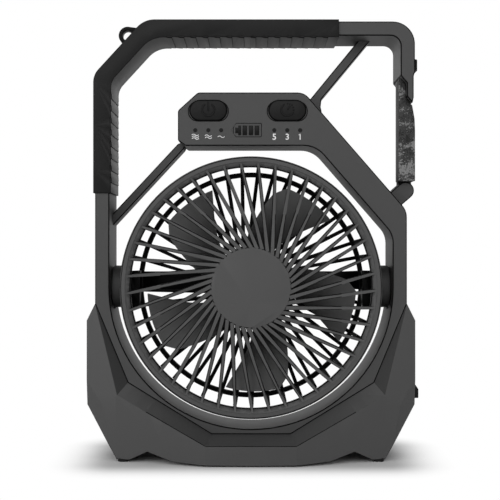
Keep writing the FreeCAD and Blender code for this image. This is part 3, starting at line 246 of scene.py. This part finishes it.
# These mouldings get painted shade on their sharp edges, a thin dark line on the bevel, from this turn on, in
# degrees.
edgeShadeTurns = {
    "base_front_shell": 70, "base_rear_shell": 70, "frame_front_shell": 24, "frame_rear_shell": 24,
    "front_grille": 24, "handle_grip": 24, "power_key": 24, "timer_key": 24,
}
crispFacets = {"base_front_shell", "base_rear_shell", "frame_front_shell", "frame_rear_shell", "front_grille"}
# Ribs are this much wider on each side than in the CAD, and the rear hoop too, as the photo shows them.
widerWalls = {"rear_grille": {"hub": 0.55, "rim": 0.4, "ribs": (18.0, 86.0), "hoop": (70.0, 79.0)},
              "front_grille": {"hub": 0.85, "rim": 0.35, "ribs": (25.0, 81.9), "hoop": (0.0, 0.0)}}
edgeRules = {"merge": 0.004, "flat": 0.6, "turn": 24.0, "seam": 0.02, "crisp": 12, "roundTurn": 0.6,
             "cuts": {0: range(-90, 91, 30), 2: range(15, 271, 30)}}
wideRules = {"wall": 0.3, "hoopTurn": 0.9, "ribTurn": 0.5, "sameWay": 0.8, "hubReach": 26.0, "span": 54.0}


def split(bm):    # plain cuts across the wide faces keep each of them a simple outline
    for axis, places in edgeRules["cuts"].items():
        for place in places:
            across = Vector([float(n == axis) for n in range(3)])
            bmesh.ops.bisect_plane(bm, geom=bm.verts[:] + bm.edges[:] + bm.faces[:], dist=1e-7,
                                   plane_co=across * place * mm, plane_no=across)


def onSeam(edge):    # the shells meet in the middle plane, where the real joint hardly shows
    return all(abs(vert.co.y) < edgeRules["seam"] * mm for vert in edge.verts)


def reachOf(point):    # distance from the fan's axis, in millimetres
    return math.hypot(point.x, point.z - fanAxis.z) / mm


def widen(bm, walls):    # moves the walls of ribs outwards, square to the front
    moves = {}
    for face in bm.faces:
        middle = face.calc_center_median()
        outwards = (middle - fanAxis) * Vector((1, 0, 1))
        along = abs(face.normal.dot(outwards.normalized()))
        low, high = walls["hoop" if along > wideRules["ribTurn"] else "ribs"]
        turned = along > wideRules["hoopTurn"] or along < wideRules["ribTurn"]
        if abs(face.normal.y) < wideRules["wall"] and turned:
            for vert in face.verts:
                ways = moves.setdefault(vert, [])
                fresh = all(way.dot(face.normal) < wideRules["sameWay"] for way in ways)
                if low < reachOf(vert.co) < high and fresh:
                    ways.append(face.normal.copy())
    for vert, ways in moves.items():
        share = min(1.0, max(0.0, (reachOf(vert.co) - wideRules["hubReach"]) / wideRules["span"]))
        vert.co += sum(ways, Vector()) * (walls["hub"] * (1 - share) + walls["rim"] * share) * mm


def inPocket(edge):
    ranges = [plainRims[axis] for axis in "xyz"]
    return all(low < place / mm < high for vert in edge.verts for place, (low, high) in zip(vert.co, ranges))


def inZone(edge, zone):    # grow is how much further out one end has to be than the other
    near, far = sorted(reachOf(vert.co) for vert in edge.verts)
    return zone["reach"][0] < near and far < zone["reach"][1] and far - near > zone["grow"]


# The base shells and the grille's ring take lighter copies of the shell plastic, painted light for the extra light
# these parts show.
litShellCopies = {"base_front_shell": "baseShellLit", "base_rear_shell": "baseShellLit", "front_grille": "ringShellLit"}


# The band round the base's well: its corner moves along the front facet, to meet the bottom band as in the photo.
baseBand = {"corner": (57.85, 33.12, 15.67), "goal": (29.6, 42.0, 14.1), "rimSide": (82.6, 20.0, 52.5),
            "rimLow": (26.6, 20.0, 18.0), "proudSide": (88.9, 26.8, 45.2), "near": 0.15, "merge": 0.015, "strips": 14}


def quarter(point):    # a point of any of the four mirrored quarters, in millimetres
    return Vector((abs(point.x), abs(point.y), point.z)) / mm


def isAt(vert, place):
    return (quarter(vert.co) - Vector(place)).length < baseBand["near"]


def joins(edge, one, other):
    first, second = edge.verts
    return (isAt(first, one) and isAt(second, other)) or (isAt(first, other) and isAt(second, one))


def straightenBand(bm):
    x, y, z = baseBand["goal"]
    for vert in bm.verts:
        if isAt(vert, baseBand["corner"]):
            vert.co = Vector((math.copysign(x, vert.co.x), math.copysign(y, vert.co.y), z)) * mm
    bmesh.ops.remove_doubles(bm, verts=bm.verts, dist=baseBand["merge"] * mm)
    long = [edge for edge in bm.edges if joins(edge, baseBand["rimSide"], baseBand["rimLow"])
            or joins(edge, baseBand["proudSide"], baseBand["goal"])]
    bmesh.ops.subdivide_edges(bm, edges=long, cuts=baseBand["strips"], use_grid_fill=True)


def softened(node, width):
    bm = bmesh.new()
    bm.from_mesh(frame["nodes"][node].data)
    bmesh.ops.remove_doubles(bm, verts=bm.verts, dist=edgeRules["merge"] * mm)
    bmesh.ops.dissolve_limit(bm, angle_limit=math.radians(edgeRules["flat"]), verts=bm.verts, edges=bm.edges)
    if node in widerWalls:
        widen(bm, widerWalls[node])
    if node.startswith("base_"):
        straightenBand(bm)
    split(bm)
    turn = math.radians(edgeShadeTurns.get(node, edgeRules["turn"]))
    for zone in edgeZones.get(node, [{"width": width, "reach": (0.0, 999.0), "grow": -1.0}]):
        corners = [edge for edge in bm.edges
                   if edge.is_manifold and edge.is_convex and edge.calc_face_angle(0) > turn
                   and not onSeam(edge) and not inPocket(edge) and inZone(edge, zone)]
        if zone["width"]:
            made = bmesh.ops.bevel(bm, geom=corners, affect="EDGES", offset=zone["width"] * mm, segments=2,
                                   profile=0.5, material=-1, clamp_overlap=False)
            # the bevels of these mouldings take the painted edge shade
            for face in made["faces"]:
                face.material_index = int(node in edgeShadeTurns)
    crisp = edgeRules["crisp"] if node in crispFacets else smoothTurn
    look = looks[litShellCopies.get(node, nodeSlot[node])]
    piece = newPiece(node + "_soft", bm, nodeBody[node], look, crisp)
    piece.data.materials.append(edgeShadeLook)
    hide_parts(node)
    return piece


moulded = {node: softened(node, width) for node, width in softEdges.items()}
for node, thing in frame["nodes"].items():
    if node not in softEdges:
        thing.data.materials.clear()
        thing.data.materials.append(looks[nodeSlot[node]])
print("moulded pieces:", len(softEdges))


# Release button: a press bar that stands further out of its slot than the CAD solid, with a slanted lower end.
button = {"outX": 113.55, "lowSlant": 1.7, "highSlant": 1.3, "edge": 0.4}


def releaseButton():
    low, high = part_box("release_button")
    bm = bmesh.new()
    made = bmesh.ops.create_cube(bm, size=1.0)
    size = Vector((button["outX"] * mm - low.x, high.y - low.y, high.z - low.z))
    place = Matrix.Translation(low + size / 2) @ Matrix.Diagonal((*size, 1))
    bmesh.ops.transform(bm, matrix=place, verts=made["verts"])
    for vert in bm.verts:
        if vert.co.x > low.x + size.x / 2:
            vert.co.z += (button["lowSlant"] if vert.co.z < low.z + size.z / 2 else -button["highSlant"]) * mm
    rounded(bm, button["edge"] * mm)
    piece = newPiece("release_button_bar", bm, nodeBody["release_button"], looks["black_plastic"])
    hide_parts("release_button")


# Two tones on one moulding: rib sides painted dark as shade in the front grille, grey journals on the rear one.
grille = {"sideTurn": -0.45, "insideRing": 81.6, "hubEdge": 26.4, "journalFrom": 86.9, "frontTurn": -0.6,
          "lip": (80.0, 81.05), "lipDepth": -24.3}


# the rib sides are painted near black, as shade
def ribSideShade(centre, normal):
    return normal.y > grille["sideTurn"] and grille["hubEdge"] < reachOf(centre * mm) < grille["insideRing"]


# painted shade: the ring's inner step is painted black
def lipShade(centre, normal):    # the ring's inner step reads as a thin black line
    near, far = grille["lip"]
    return near < reachOf(centre * mm) < far and centre.y > grille["lipDepth"]


reskin(moulded["front_grille"], edgeShadeLook, ribSideShade)
reskin(moulded["rear_grille"], pivotLook, lambda centre, normal: abs(centre.x) > grille["journalFrom"])
reskin(moulded["gate_cover"], looks["gate_plastic"], lambda centre, normal: normal.y > grille["frontTurn"])
reskin(moulded["front_grille"], looks["black_plastic"], lipShade)
moulded["battery_gauge"].data.materials[0] = looks["shell"]

# The slanting side of the base's well lies in shade.
wellSide = [Vector(corner) for corner in ((104.5, 105.4), (82.6, 52.5), (88.9, 45.2))]


def onWellSide(centre, normal):
    place = Vector((abs(centre.x), centre.z))
    turns = [(wellSide[n] - wellSide[n - 1]).cross(place - wellSide[n - 1]) for n in range(3)]
    return (min(turns) > 0 or max(turns) < 0) and normal.y * centre.y > 0


for node in ("base_front_shell", "base_rear_shell"):
    reskin(moulded[node], wellLook, onWellSide, 0)

# The grip's rubber, with a painted sheen on its inner faces and painted shade on its lines and outer faces, by which
# way a face looks from the handle's middle.
gripSides = {"middle": Vector((-20.0, 0.0, 215.0)), "inner": 0.8, "line": 0.93, "outer": 0.6}


def gripFacing(centre, normal):
    return normal.dot(gripSides["middle"] - Vector((centre.x, 0, centre.z)))


def gripInnerSheen(centre, normal):    # the inner faces, with the ribs, get a lighter tone: a painted sheen for the light they catch at a grazing view
    return abs(normal.y) < gripSides["inner"] and gripFacing(centre, normal) > 0


def gripShadeLine(centre, normal):    # a thin dark line of painted shade parts them from the front, and the outer faces are painted dark as shade too
    inside = gripFacing(centre, normal) > 0
    return abs(normal.y) < gripSides["line" if inside else "outer"]


reskin(moulded["handle_grip"], gripSheenLook, gripInnerSheen, 0)
reskin(moulded["handle_grip"], edgeShadeLook, gripShadeLine, 0)


arcStep = 12    # degrees turned between two sections of a curved line


# Thin raised lines: a small square section, spun from arc to arc.
def lineStart(bm, centre, radius, degrees, width, low, high):
    made = bmesh.ops.create_grid(bm, x_segments=1, y_segments=1, size=0.5)
    place = (Matrix.Translation((centre.x, 0, centre.z)) @ Matrix.Rotation(math.radians(-degrees), 4, "Y")
             @ Matrix.Translation((radius, (low + high) / 2, 0)) @ Matrix.Diagonal((width, high - low, 1, 1)))
    bmesh.ops.transform(bm, matrix=place, verts=made["verts"])
    edges = list({edge for vert in made["verts"] for edge in vert.link_edges})
    return made["verts"] + edges


def lineTurn(bm, geometry, centre, degrees, steps):
    turned = bmesh.ops.spin(bm, geom=geometry, cent=centre, axis=(0, -1, 0), angle=math.radians(degrees),
                            steps=steps, use_duplicate=False)
    return [part for part in turned["geom_last"] if not isinstance(part, bmesh.types.BMFace)]


def closeLine(bm):
    bmesh.ops.holes_fill(bm, edges=[edge for edge in bm.edges if edge.is_boundary], sides=4)
    bmesh.ops.recalc_face_normals(bm, faces=bm.faces)


def arcLine(bm, centre, radius, fromDegrees, turn, width, low, high):
    start = lineStart(bm, centre, radius, fromDegrees, width, low, high)
    lineTurn(bm, start, centre, turn, max(2, int(abs(turn) / arcStep)))
    closeLine(bm)


def straightLine(bm, middle, length, width, low, high, degrees):
    made = bmesh.ops.create_cube(bm, size=1.0)
    place = (Matrix.Translation((middle.x, (low + high) / 2, middle.z))
             @ Matrix.Rotation(math.radians(-degrees), 4, "Y") @ Matrix.Diagonal((length, high - low, width, 1)))
    bmesh.ops.transform(bm, matrix=place, verts=made["verts"])


def facePlate(bm, middle, wide, tall, y):    # one upright face, to be cut and thickened
    made = bmesh.ops.create_grid(bm, x_segments=1, y_segments=1, size=0.5)
    place = (Matrix.Translation((middle[0] * mm, y, middle[1] * mm)) @ Matrix.Rotation(math.radians(90), 4, "X")
             @ Matrix.Diagonal((wide * mm, tall * mm, 1, 1)))
    bmesh.ops.transform(bm, verts=made["verts"], matrix=place)


def cutRing(bm, width, thickness):    # keeps a plate's outer border only, and gives it a thickness
    rim = bmesh.ops.inset_region(bm, faces=bm.faces[:], thickness=width, use_boundary=True,
                                 use_even_offset=True)["faces"]
    bmesh.ops.delete(bm, geom=[inside for inside in bm.faces if inside not in rim], context="FACES")
    bmesh.ops.solidify(bm, geom=bm.faces[:], thickness=thickness)
    bmesh.ops.recalc_face_normals(bm, faces=bm.faces)


def rounded(bm, width):
    corners = [edge for edge in bm.edges if edge.calc_face_angle(0) > edgeRules["roundTurn"]]
    bmesh.ops.bevel(bm, geom=corners, affect="EDGES", offset=width, segments=2, profile=0.5, material=-1,
                    clamp_overlap=True)


# Key signs, raised in the rubber: a broken ring with a bar, and a clock ring with a hand.
keySigns = {"radius": 4.15, "line": 1.2, "relief": 0.3, "sunk": 0.4, "lift": 0.4, "edge": 0.26,
            "powerRing": (120, 300), "powerBar": {"low": -0.9, "high": 5.3},
            "clockRing": (118, 217), "clockTicks": (352, 16, 39, 62, 84), "tick": 9, "hand": 3.0, "handDegrees": 55,
            "flank": -0.95}


def keyFace(node):
    low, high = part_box(node)
    return Vector(((low.x + high.x) / 2, low.y, (low.z + high.z) / 2 + keySigns["lift"] * mm))


def keySign(node, name, draw):
    bm = bmesh.new()
    face = keyFace(node)
    draw(bm, face, face.y - keySigns["relief"] * mm, face.y + keySigns["sunk"] * mm)
    rounded(bm, keySigns["edge"] * mm)
    sign = newPiece(name, bm, nodeBody[node], looks["key_rubber"])
    reskin(sign, edgeShadeLook, lambda centre, normal: normal.y > keySigns["flank"])    # they lie in shade


def powerSign(bm, face, low, high):
    start, turn = keySigns["powerRing"]
    arcLine(bm, face, keySigns["radius"] * mm, start, turn, keySigns["line"] * mm, low, high)
    bar = keySigns["powerBar"]
    middle = face + Vector((0, 0, (bar["low"] + bar["high"]) / 2 * mm))
    straightLine(bm, middle, (bar["high"] - bar["low"]) * mm, keySigns["line"] * mm, low, high, 90)


def clockSign(bm, face, low, high):
    start, turn = keySigns["clockRing"]
    radius, line = keySigns["radius"] * mm, keySigns["line"] * mm
    arcLine(bm, face, radius, start, turn, line, low, high)
    for tick in keySigns["clockTicks"]:
        arcLine(bm, face, radius, tick, keySigns["tick"], line, low, high)
    hand = math.radians(keySigns["handDegrees"])
    reach = keySigns["hand"] / 2 * mm
    middle = face + Vector((reach * math.cos(hand), 0, reach * math.sin(hand)))
    straightLine(bm, middle, keySigns["hand"] * mm, line, low, high, keySigns["handDegrees"])


# Key shadows: a thin black ring of painted shadow round each key, lower than the key, so that it shows under it.
keyShadowRing = {"lower": 0.5, "proud": 0.12, "round": 0.48, "segments": 10, "line": 0.6}
for key in ("power_key", "timer_key"):
    low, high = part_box(key)
    tall = (high.z - low.z) / mm
    bm = bmesh.new()
    facePlate(bm, ((low.x + high.x) / 2 / mm, (low.z + high.z) / 2 / mm - keyShadowRing["lower"]), (high.x - low.x) / mm,
              tall, frontFace - keyShadowRing["proud"] * mm)
    bmesh.ops.bevel(bm, geom=bm.verts[:], affect="VERTICES", offset=tall * keyShadowRing["round"] * mm,
                    segments=keyShadowRing["segments"], profile=0.5, material=-1)
    cutRing(bm, keyShadowRing["line"] * mm, keyShadowRing["proud"] * mm)
    newPiece(key + "_skirt", bm, "root", edgeShadeLook)

releaseButton()
keySign("power_key", "power_sign", powerSign)
keySign("timer_key", "timer_sign", clockSign)


# Marks under the lights, printed on the console: one to three waves, and the hours 5, 3 and 1.
marks = {"height": 217.35, "proud": 0.03, "sunk": 0.05,
         "wavePlaces": {3: -37.3, 2: -28.6, 1: -20.0}, "waveRadius": 1.4, "waveTurn": 108, "waveLine": 0.42,
         "waveStep": {3: 1.22, 2: 1.4, 1: 0.0}, "waveLean": 4.0, "humpSections": 8,
         "digitPlaces": {"5": 15.6, "3": 24.3, "1": 32.9}, "digitHeight": 4.1, "digitBold": 0.014,
         "oneStem": 0.66, "oneFlag": 1.25, "oneLean": 40, "flagOut": 0.36, "flagDown": 0.42, "flagLine": 0.8}


def consoleMark(name, bm):
    return newPiece(name, bm, "root", markLook)


def waveLine(bm, middle, low, high):
    radius, turn, line = marks["waveRadius"] * mm, marks["waveTurn"], marks["waveLine"] * mm
    hump = math.radians(turn / 2)
    first = middle + Vector((-radius * math.sin(hump), 0, -radius * math.cos(hump)))
    second = middle + Vector((radius * math.sin(hump), 0, radius * math.cos(hump)))
    begun = lineStart(bm, first, radius, 90 + turn / 2, line, low, high)
    crest = lineTurn(bm, begun, first, -turn, marks["humpSections"])
    lineTurn(bm, crest, second, turn, marks["humpSections"])
    closeLine(bm)


for count, x in marks["wavePlaces"].items():
    bm = bmesh.new()
    for n in range(count):
        z = marks["height"] + (n - (count - 1) / 2) * marks["waveStep"][count]
        waveLine(bm, Vector((x * mm, 0, z * mm)), frontFace - marks["proud"] * mm, frontFace + marks["sunk"] * mm)
    lean = Matrix.Rotation(math.radians(-marks["waveLean"]), 4, "Y")
    bmesh.ops.rotate(bm, verts=bm.verts, cent=Vector((x * mm, 0, marks["height"] * mm)), matrix=lean)
    consoleMark(f"wave_mark_{count}", bm)

for digit, x in marks["digitPlaces"].items():
    if digit == "1":    # drawn as a stem with a flag, as the font's own has none
        bm = bmesh.new()
        low, high = frontFace - marks["proud"] * mm, frontFace + marks["sunk"] * mm
        tall, stem, flag = (marks[key] * mm for key in ("digitHeight", "oneStem", "oneFlag"))
        top = Vector((x * mm, 0, marks["height"] * mm + tall / 2))
        straightLine(bm, top - Vector((0, 0, tall / 2)), tall, stem, low, high, 90)
        across = top - Vector((marks["flagOut"], 0, marks["flagDown"])) * flag
        straightLine(bm, across, flag, stem * marks["flagLine"], low, high, marks["oneLean"])
        consoleMark("hour_mark_1", bm)
        continue
    text = bpy.data.curves.new("digit", "FONT")
    text.body = digit
    text.extrude = (marks["proud"] + marks["sunk"]) / 2 * mm
    text.offset = marks["digitBold"]
    holder = bpy.data.objects.new("digit", text)
    bpy.context.scene.collection.objects.link(holder)
    bpy.context.view_layer.update()
    mesh = bpy.data.meshes.new_from_object(holder.evaluated_get(bpy.context.evaluated_depsgraph_get()))
    bpy.data.objects.remove(holder)
    bm = bmesh.new()
    bm.from_mesh(mesh)
    lows = [min(vert.co[n] for vert in bm.verts) for n in (0, 1)]
    highs = [max(vert.co[n] for vert in bm.verts) for n in (0, 1)]
    scale = marks["digitHeight"] * mm / (highs[1] - lows[1])
    middle = Vector(((lows[0] + highs[0]) / 2, (lows[1] + highs[1]) / 2, 0))
    place = (Matrix.Translation((x * mm, frontFace - (marks["proud"] - marks["sunk"]) / 2 * mm, marks["height"] * mm))
             @ Matrix.Rotation(math.radians(90), 4, "X") @ Matrix.Diagonal((scale, scale, 1, 1))
             @ Matrix.Translation(-middle))
    bmesh.ops.transform(bm, matrix=place, verts=bm.verts)
    consoleMark("hour_mark_" + digit, bm)

# Battery gauge: four dark bars and a short tip behind an engraved outline.
gauge = {"bars": [(-8.6, -6.6), (-5.7, -2.6), (-1.55, 1.5), (2.4, 5.5)], "low": 218.3, "high": 224.9,
         "tip": (-10.6, -8.4), "tipHigh": 1.9, "proud": 0.16, "sunk": 0.1, "edge": 0.1}
bm = bmesh.new()
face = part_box("battery_gauge")[0].y
low, high = face - gauge["proud"] * mm, face + gauge["sunk"] * mm
middleZ = (gauge["low"] + gauge["high"]) / 2
blocks = [(left, right, gauge["high"] - gauge["low"]) for left, right in gauge["bars"]]
blocks.append((*gauge["tip"], 2 * gauge["tipHigh"]))
for left, right, tall in blocks:
    straightLine(bm, Vector(((left + right) / 2 * mm, 0, middleZ * mm)), (right - left) * mm, tall * mm, low, high, 0)
rounded(bm, gauge["edge"] * mm)
newPiece("gauge_bars", bm, "root", barLook)

outline = {"left": -12.0, "right": 7.2, "low": 217.1, "high": 226.6, "noseCut": 2.0, "corner": 1.1, "cornerCuts": 5,
           "line": 0.42, "proud": 0.03, "thick": 0.1, "near": 0.01}
bm = bmesh.new()
wide, tall = outline["right"] - outline["left"], outline["high"] - outline["low"]
facePlate(bm, ((outline["left"] + outline["right"]) / 2, (outline["low"] + outline["high"]) / 2), wide, tall,
          face - outline["proud"] * mm)
for nose in (True, False):    # the nose's corners are cut straight, the others are round
    edge = outline["left" if nose else "right"]
    corners = [vert for vert in bm.verts if abs(vert.co.x / mm - edge) < outline["near"]]
    bmesh.ops.bevel(bm, geom=corners, affect="VERTICES", offset=outline["noseCut" if nose else "corner"] * mm,
                    segments=1 if nose else outline["cornerCuts"], profile=0.5, material=-1)
cutRing(bm, outline["line"] * mm, outline["thick"] * mm)
# the outline is a thin ring in the dark tone of the painted edge shade
newPiece("gauge_outline", bm, "root", edgeShadeLook)
print("console marks and signs done")


# Room: pale floor with a painted shadow round the footprint that fades to white, soft lamps, and the camera at the
# photograph's angle.
room = {"floorSize": 6.0, "floorSeen": 1.15, "floorTone": 0.95, "floorShadowReach": 0.045, "floorShadowTone": 0.55,
        "footprint": (0.088, 0.030), "fadeFrom": 0.006, "fadeTo": 0.05, "ambient": 0.45, "frontSheen": 0.15,
        "sheenFrom": 0.1, "sheenTo": -0.9}


def floorLook():
    material = bpy.data.materials.new("paleFloor")
    graph = Graph(material)
    path = graph.node("LightPath", output="Is Camera Ray")
    where = graph.node("TexCoord", output="Object")
    size = graph.node("VectorMath", {"operation": "ABSOLUTE"}, {0: where})
    past = graph.node("VectorMath", {"operation": "SUBTRACT"}, {0: size, 1: (*room["footprint"], 0.0)})
    past = graph.node("VectorMath", {"operation": "MAXIMUM"}, {0: past, 1: (0.0, 0.0, 0.0)})
    away = graph.node("VectorMath", {"operation": "LENGTH"}, {0: past}, "Value")
    fade = graph.node("MapRange", {"interpolation_type": "SMOOTHSTEP"}, {
        "Value": away, "From Min": room["fadeFrom"], "From Max": room["fadeTo"]})
    # painted shadow: seen from the camera, the floor darkens towards the footprint
    near = graph.node("MapRange", {"interpolation_type": "SMOOTHSTEP"}, {
        "Value": away, "From Min": 0.0, "From Max": room["floorShadowReach"]})
    seen = graph.blend(near, grey(room["floorShadowTone"]), grey(room["floorSeen"]))
    paint = graph.node("BsdfDiffuse", None, {"Color": graph.blend(path, grey(room["floorTone"]), seen)})
    glow = graph.node("Emission", None, {"Color": grey(1.0), "Strength": 1.0})
    both = graph.node("MixShader", None, {0: path * fade, 1: paint, 2: glow})
    graph.node("OutputMaterial", None, {"Surface": both})
    return material


bm = bmesh.new()
bmesh.ops.create_grid(bm, x_segments=1, y_segments=1, size=room["floorSize"] / 2)
floorMesh = bpy.data.meshes.new("floor")
bm.to_mesh(floorMesh)
bm.free()
floorMesh.materials.append(floorLook())
floor = bpy.data.objects.new("floor", floorMesh)
bpy.context.scene.collection.objects.link(floor)

world = bpy.data.worlds.new("studio")
bpy.context.scene.world = world
graph = Graph(world)
paths = [graph.node("LightPath", output=ray) for ray in ("Is Camera Ray", "Is Glossy Ray", "Is Transmission Ray")]
way = graph.node("SeparateXYZ", None, {0: graph.node("TexCoord", output="Generated")}, "Y")
front = graph.node("MapRange", {"interpolation_type": "SMOOTHSTEP"}, {
    "Value": way, "From Min": room["sheenFrom"], "From Max": room["sheenTo"], "To Min": 1.0,
    "To Max": room["frontSheen"]})
seen = graph.node("Math", {"operation": "MAXIMUM"}, {0: paths[0], 1: paths[2]})
seen = graph.node("Math", {"operation": "MAXIMUM"}, {0: seen, 1: paths[1] * front})
strength = seen * (1.0 - room["ambient"]) + room["ambient"]
backdrop = graph.node("Background", None, {"Color": grey(1.0), "Strength": strength})
graph.node("OutputWorld", None, {"Surface": backdrop})

lamps = {
    "keyLeft": {"place": (-1.4, -1.1, 0.5), "size": 1.0, "power": 13.0},
    "fillRight": {"place": (1.3, -1.0, 0.3), "size": 1.0, "power": 5.0},
    "frontHigh": {"place": (-0.1, -1.6, 1.0), "size": 1.2, "power": 12.0},
}
for name, lamp in lamps.items():
    light = bpy.data.lights.new(name, "AREA")
    light.energy = lamp["power"]
    light.size = lamp["size"]
    holder = bpy.data.objects.new(name, light)
    holder.location = lamp["place"]
    aim = fanAxis - Vector(lamp["place"])
    holder.rotation_euler = aim.to_track_quat("-Z", "Y").to_euler()
    bpy.context.scene.collection.objects.link(holder)

view = {"place": (0.0, -0.740, 0.1455), "lens": 77.4, "sensor": 36.0, "shift": (-0.002, -0.012)}
cameraData = bpy.data.cameras.new("camera")
cameraData.lens = view["lens"]
cameraData.sensor_width = view["sensor"]
cameraData.shift_x, cameraData.shift_y = view["shift"]
camera = bpy.data.objects.new("camera", cameraData)
camera.location = view["place"]
camera.rotation_euler = (math.radians(90), 0, 0)
bpy.context.scene.collection.objects.link(camera)
bpy.context.scene.camera = camera
bpy.context.scene.view_settings.view_transform = "Standard"
print("room ready")
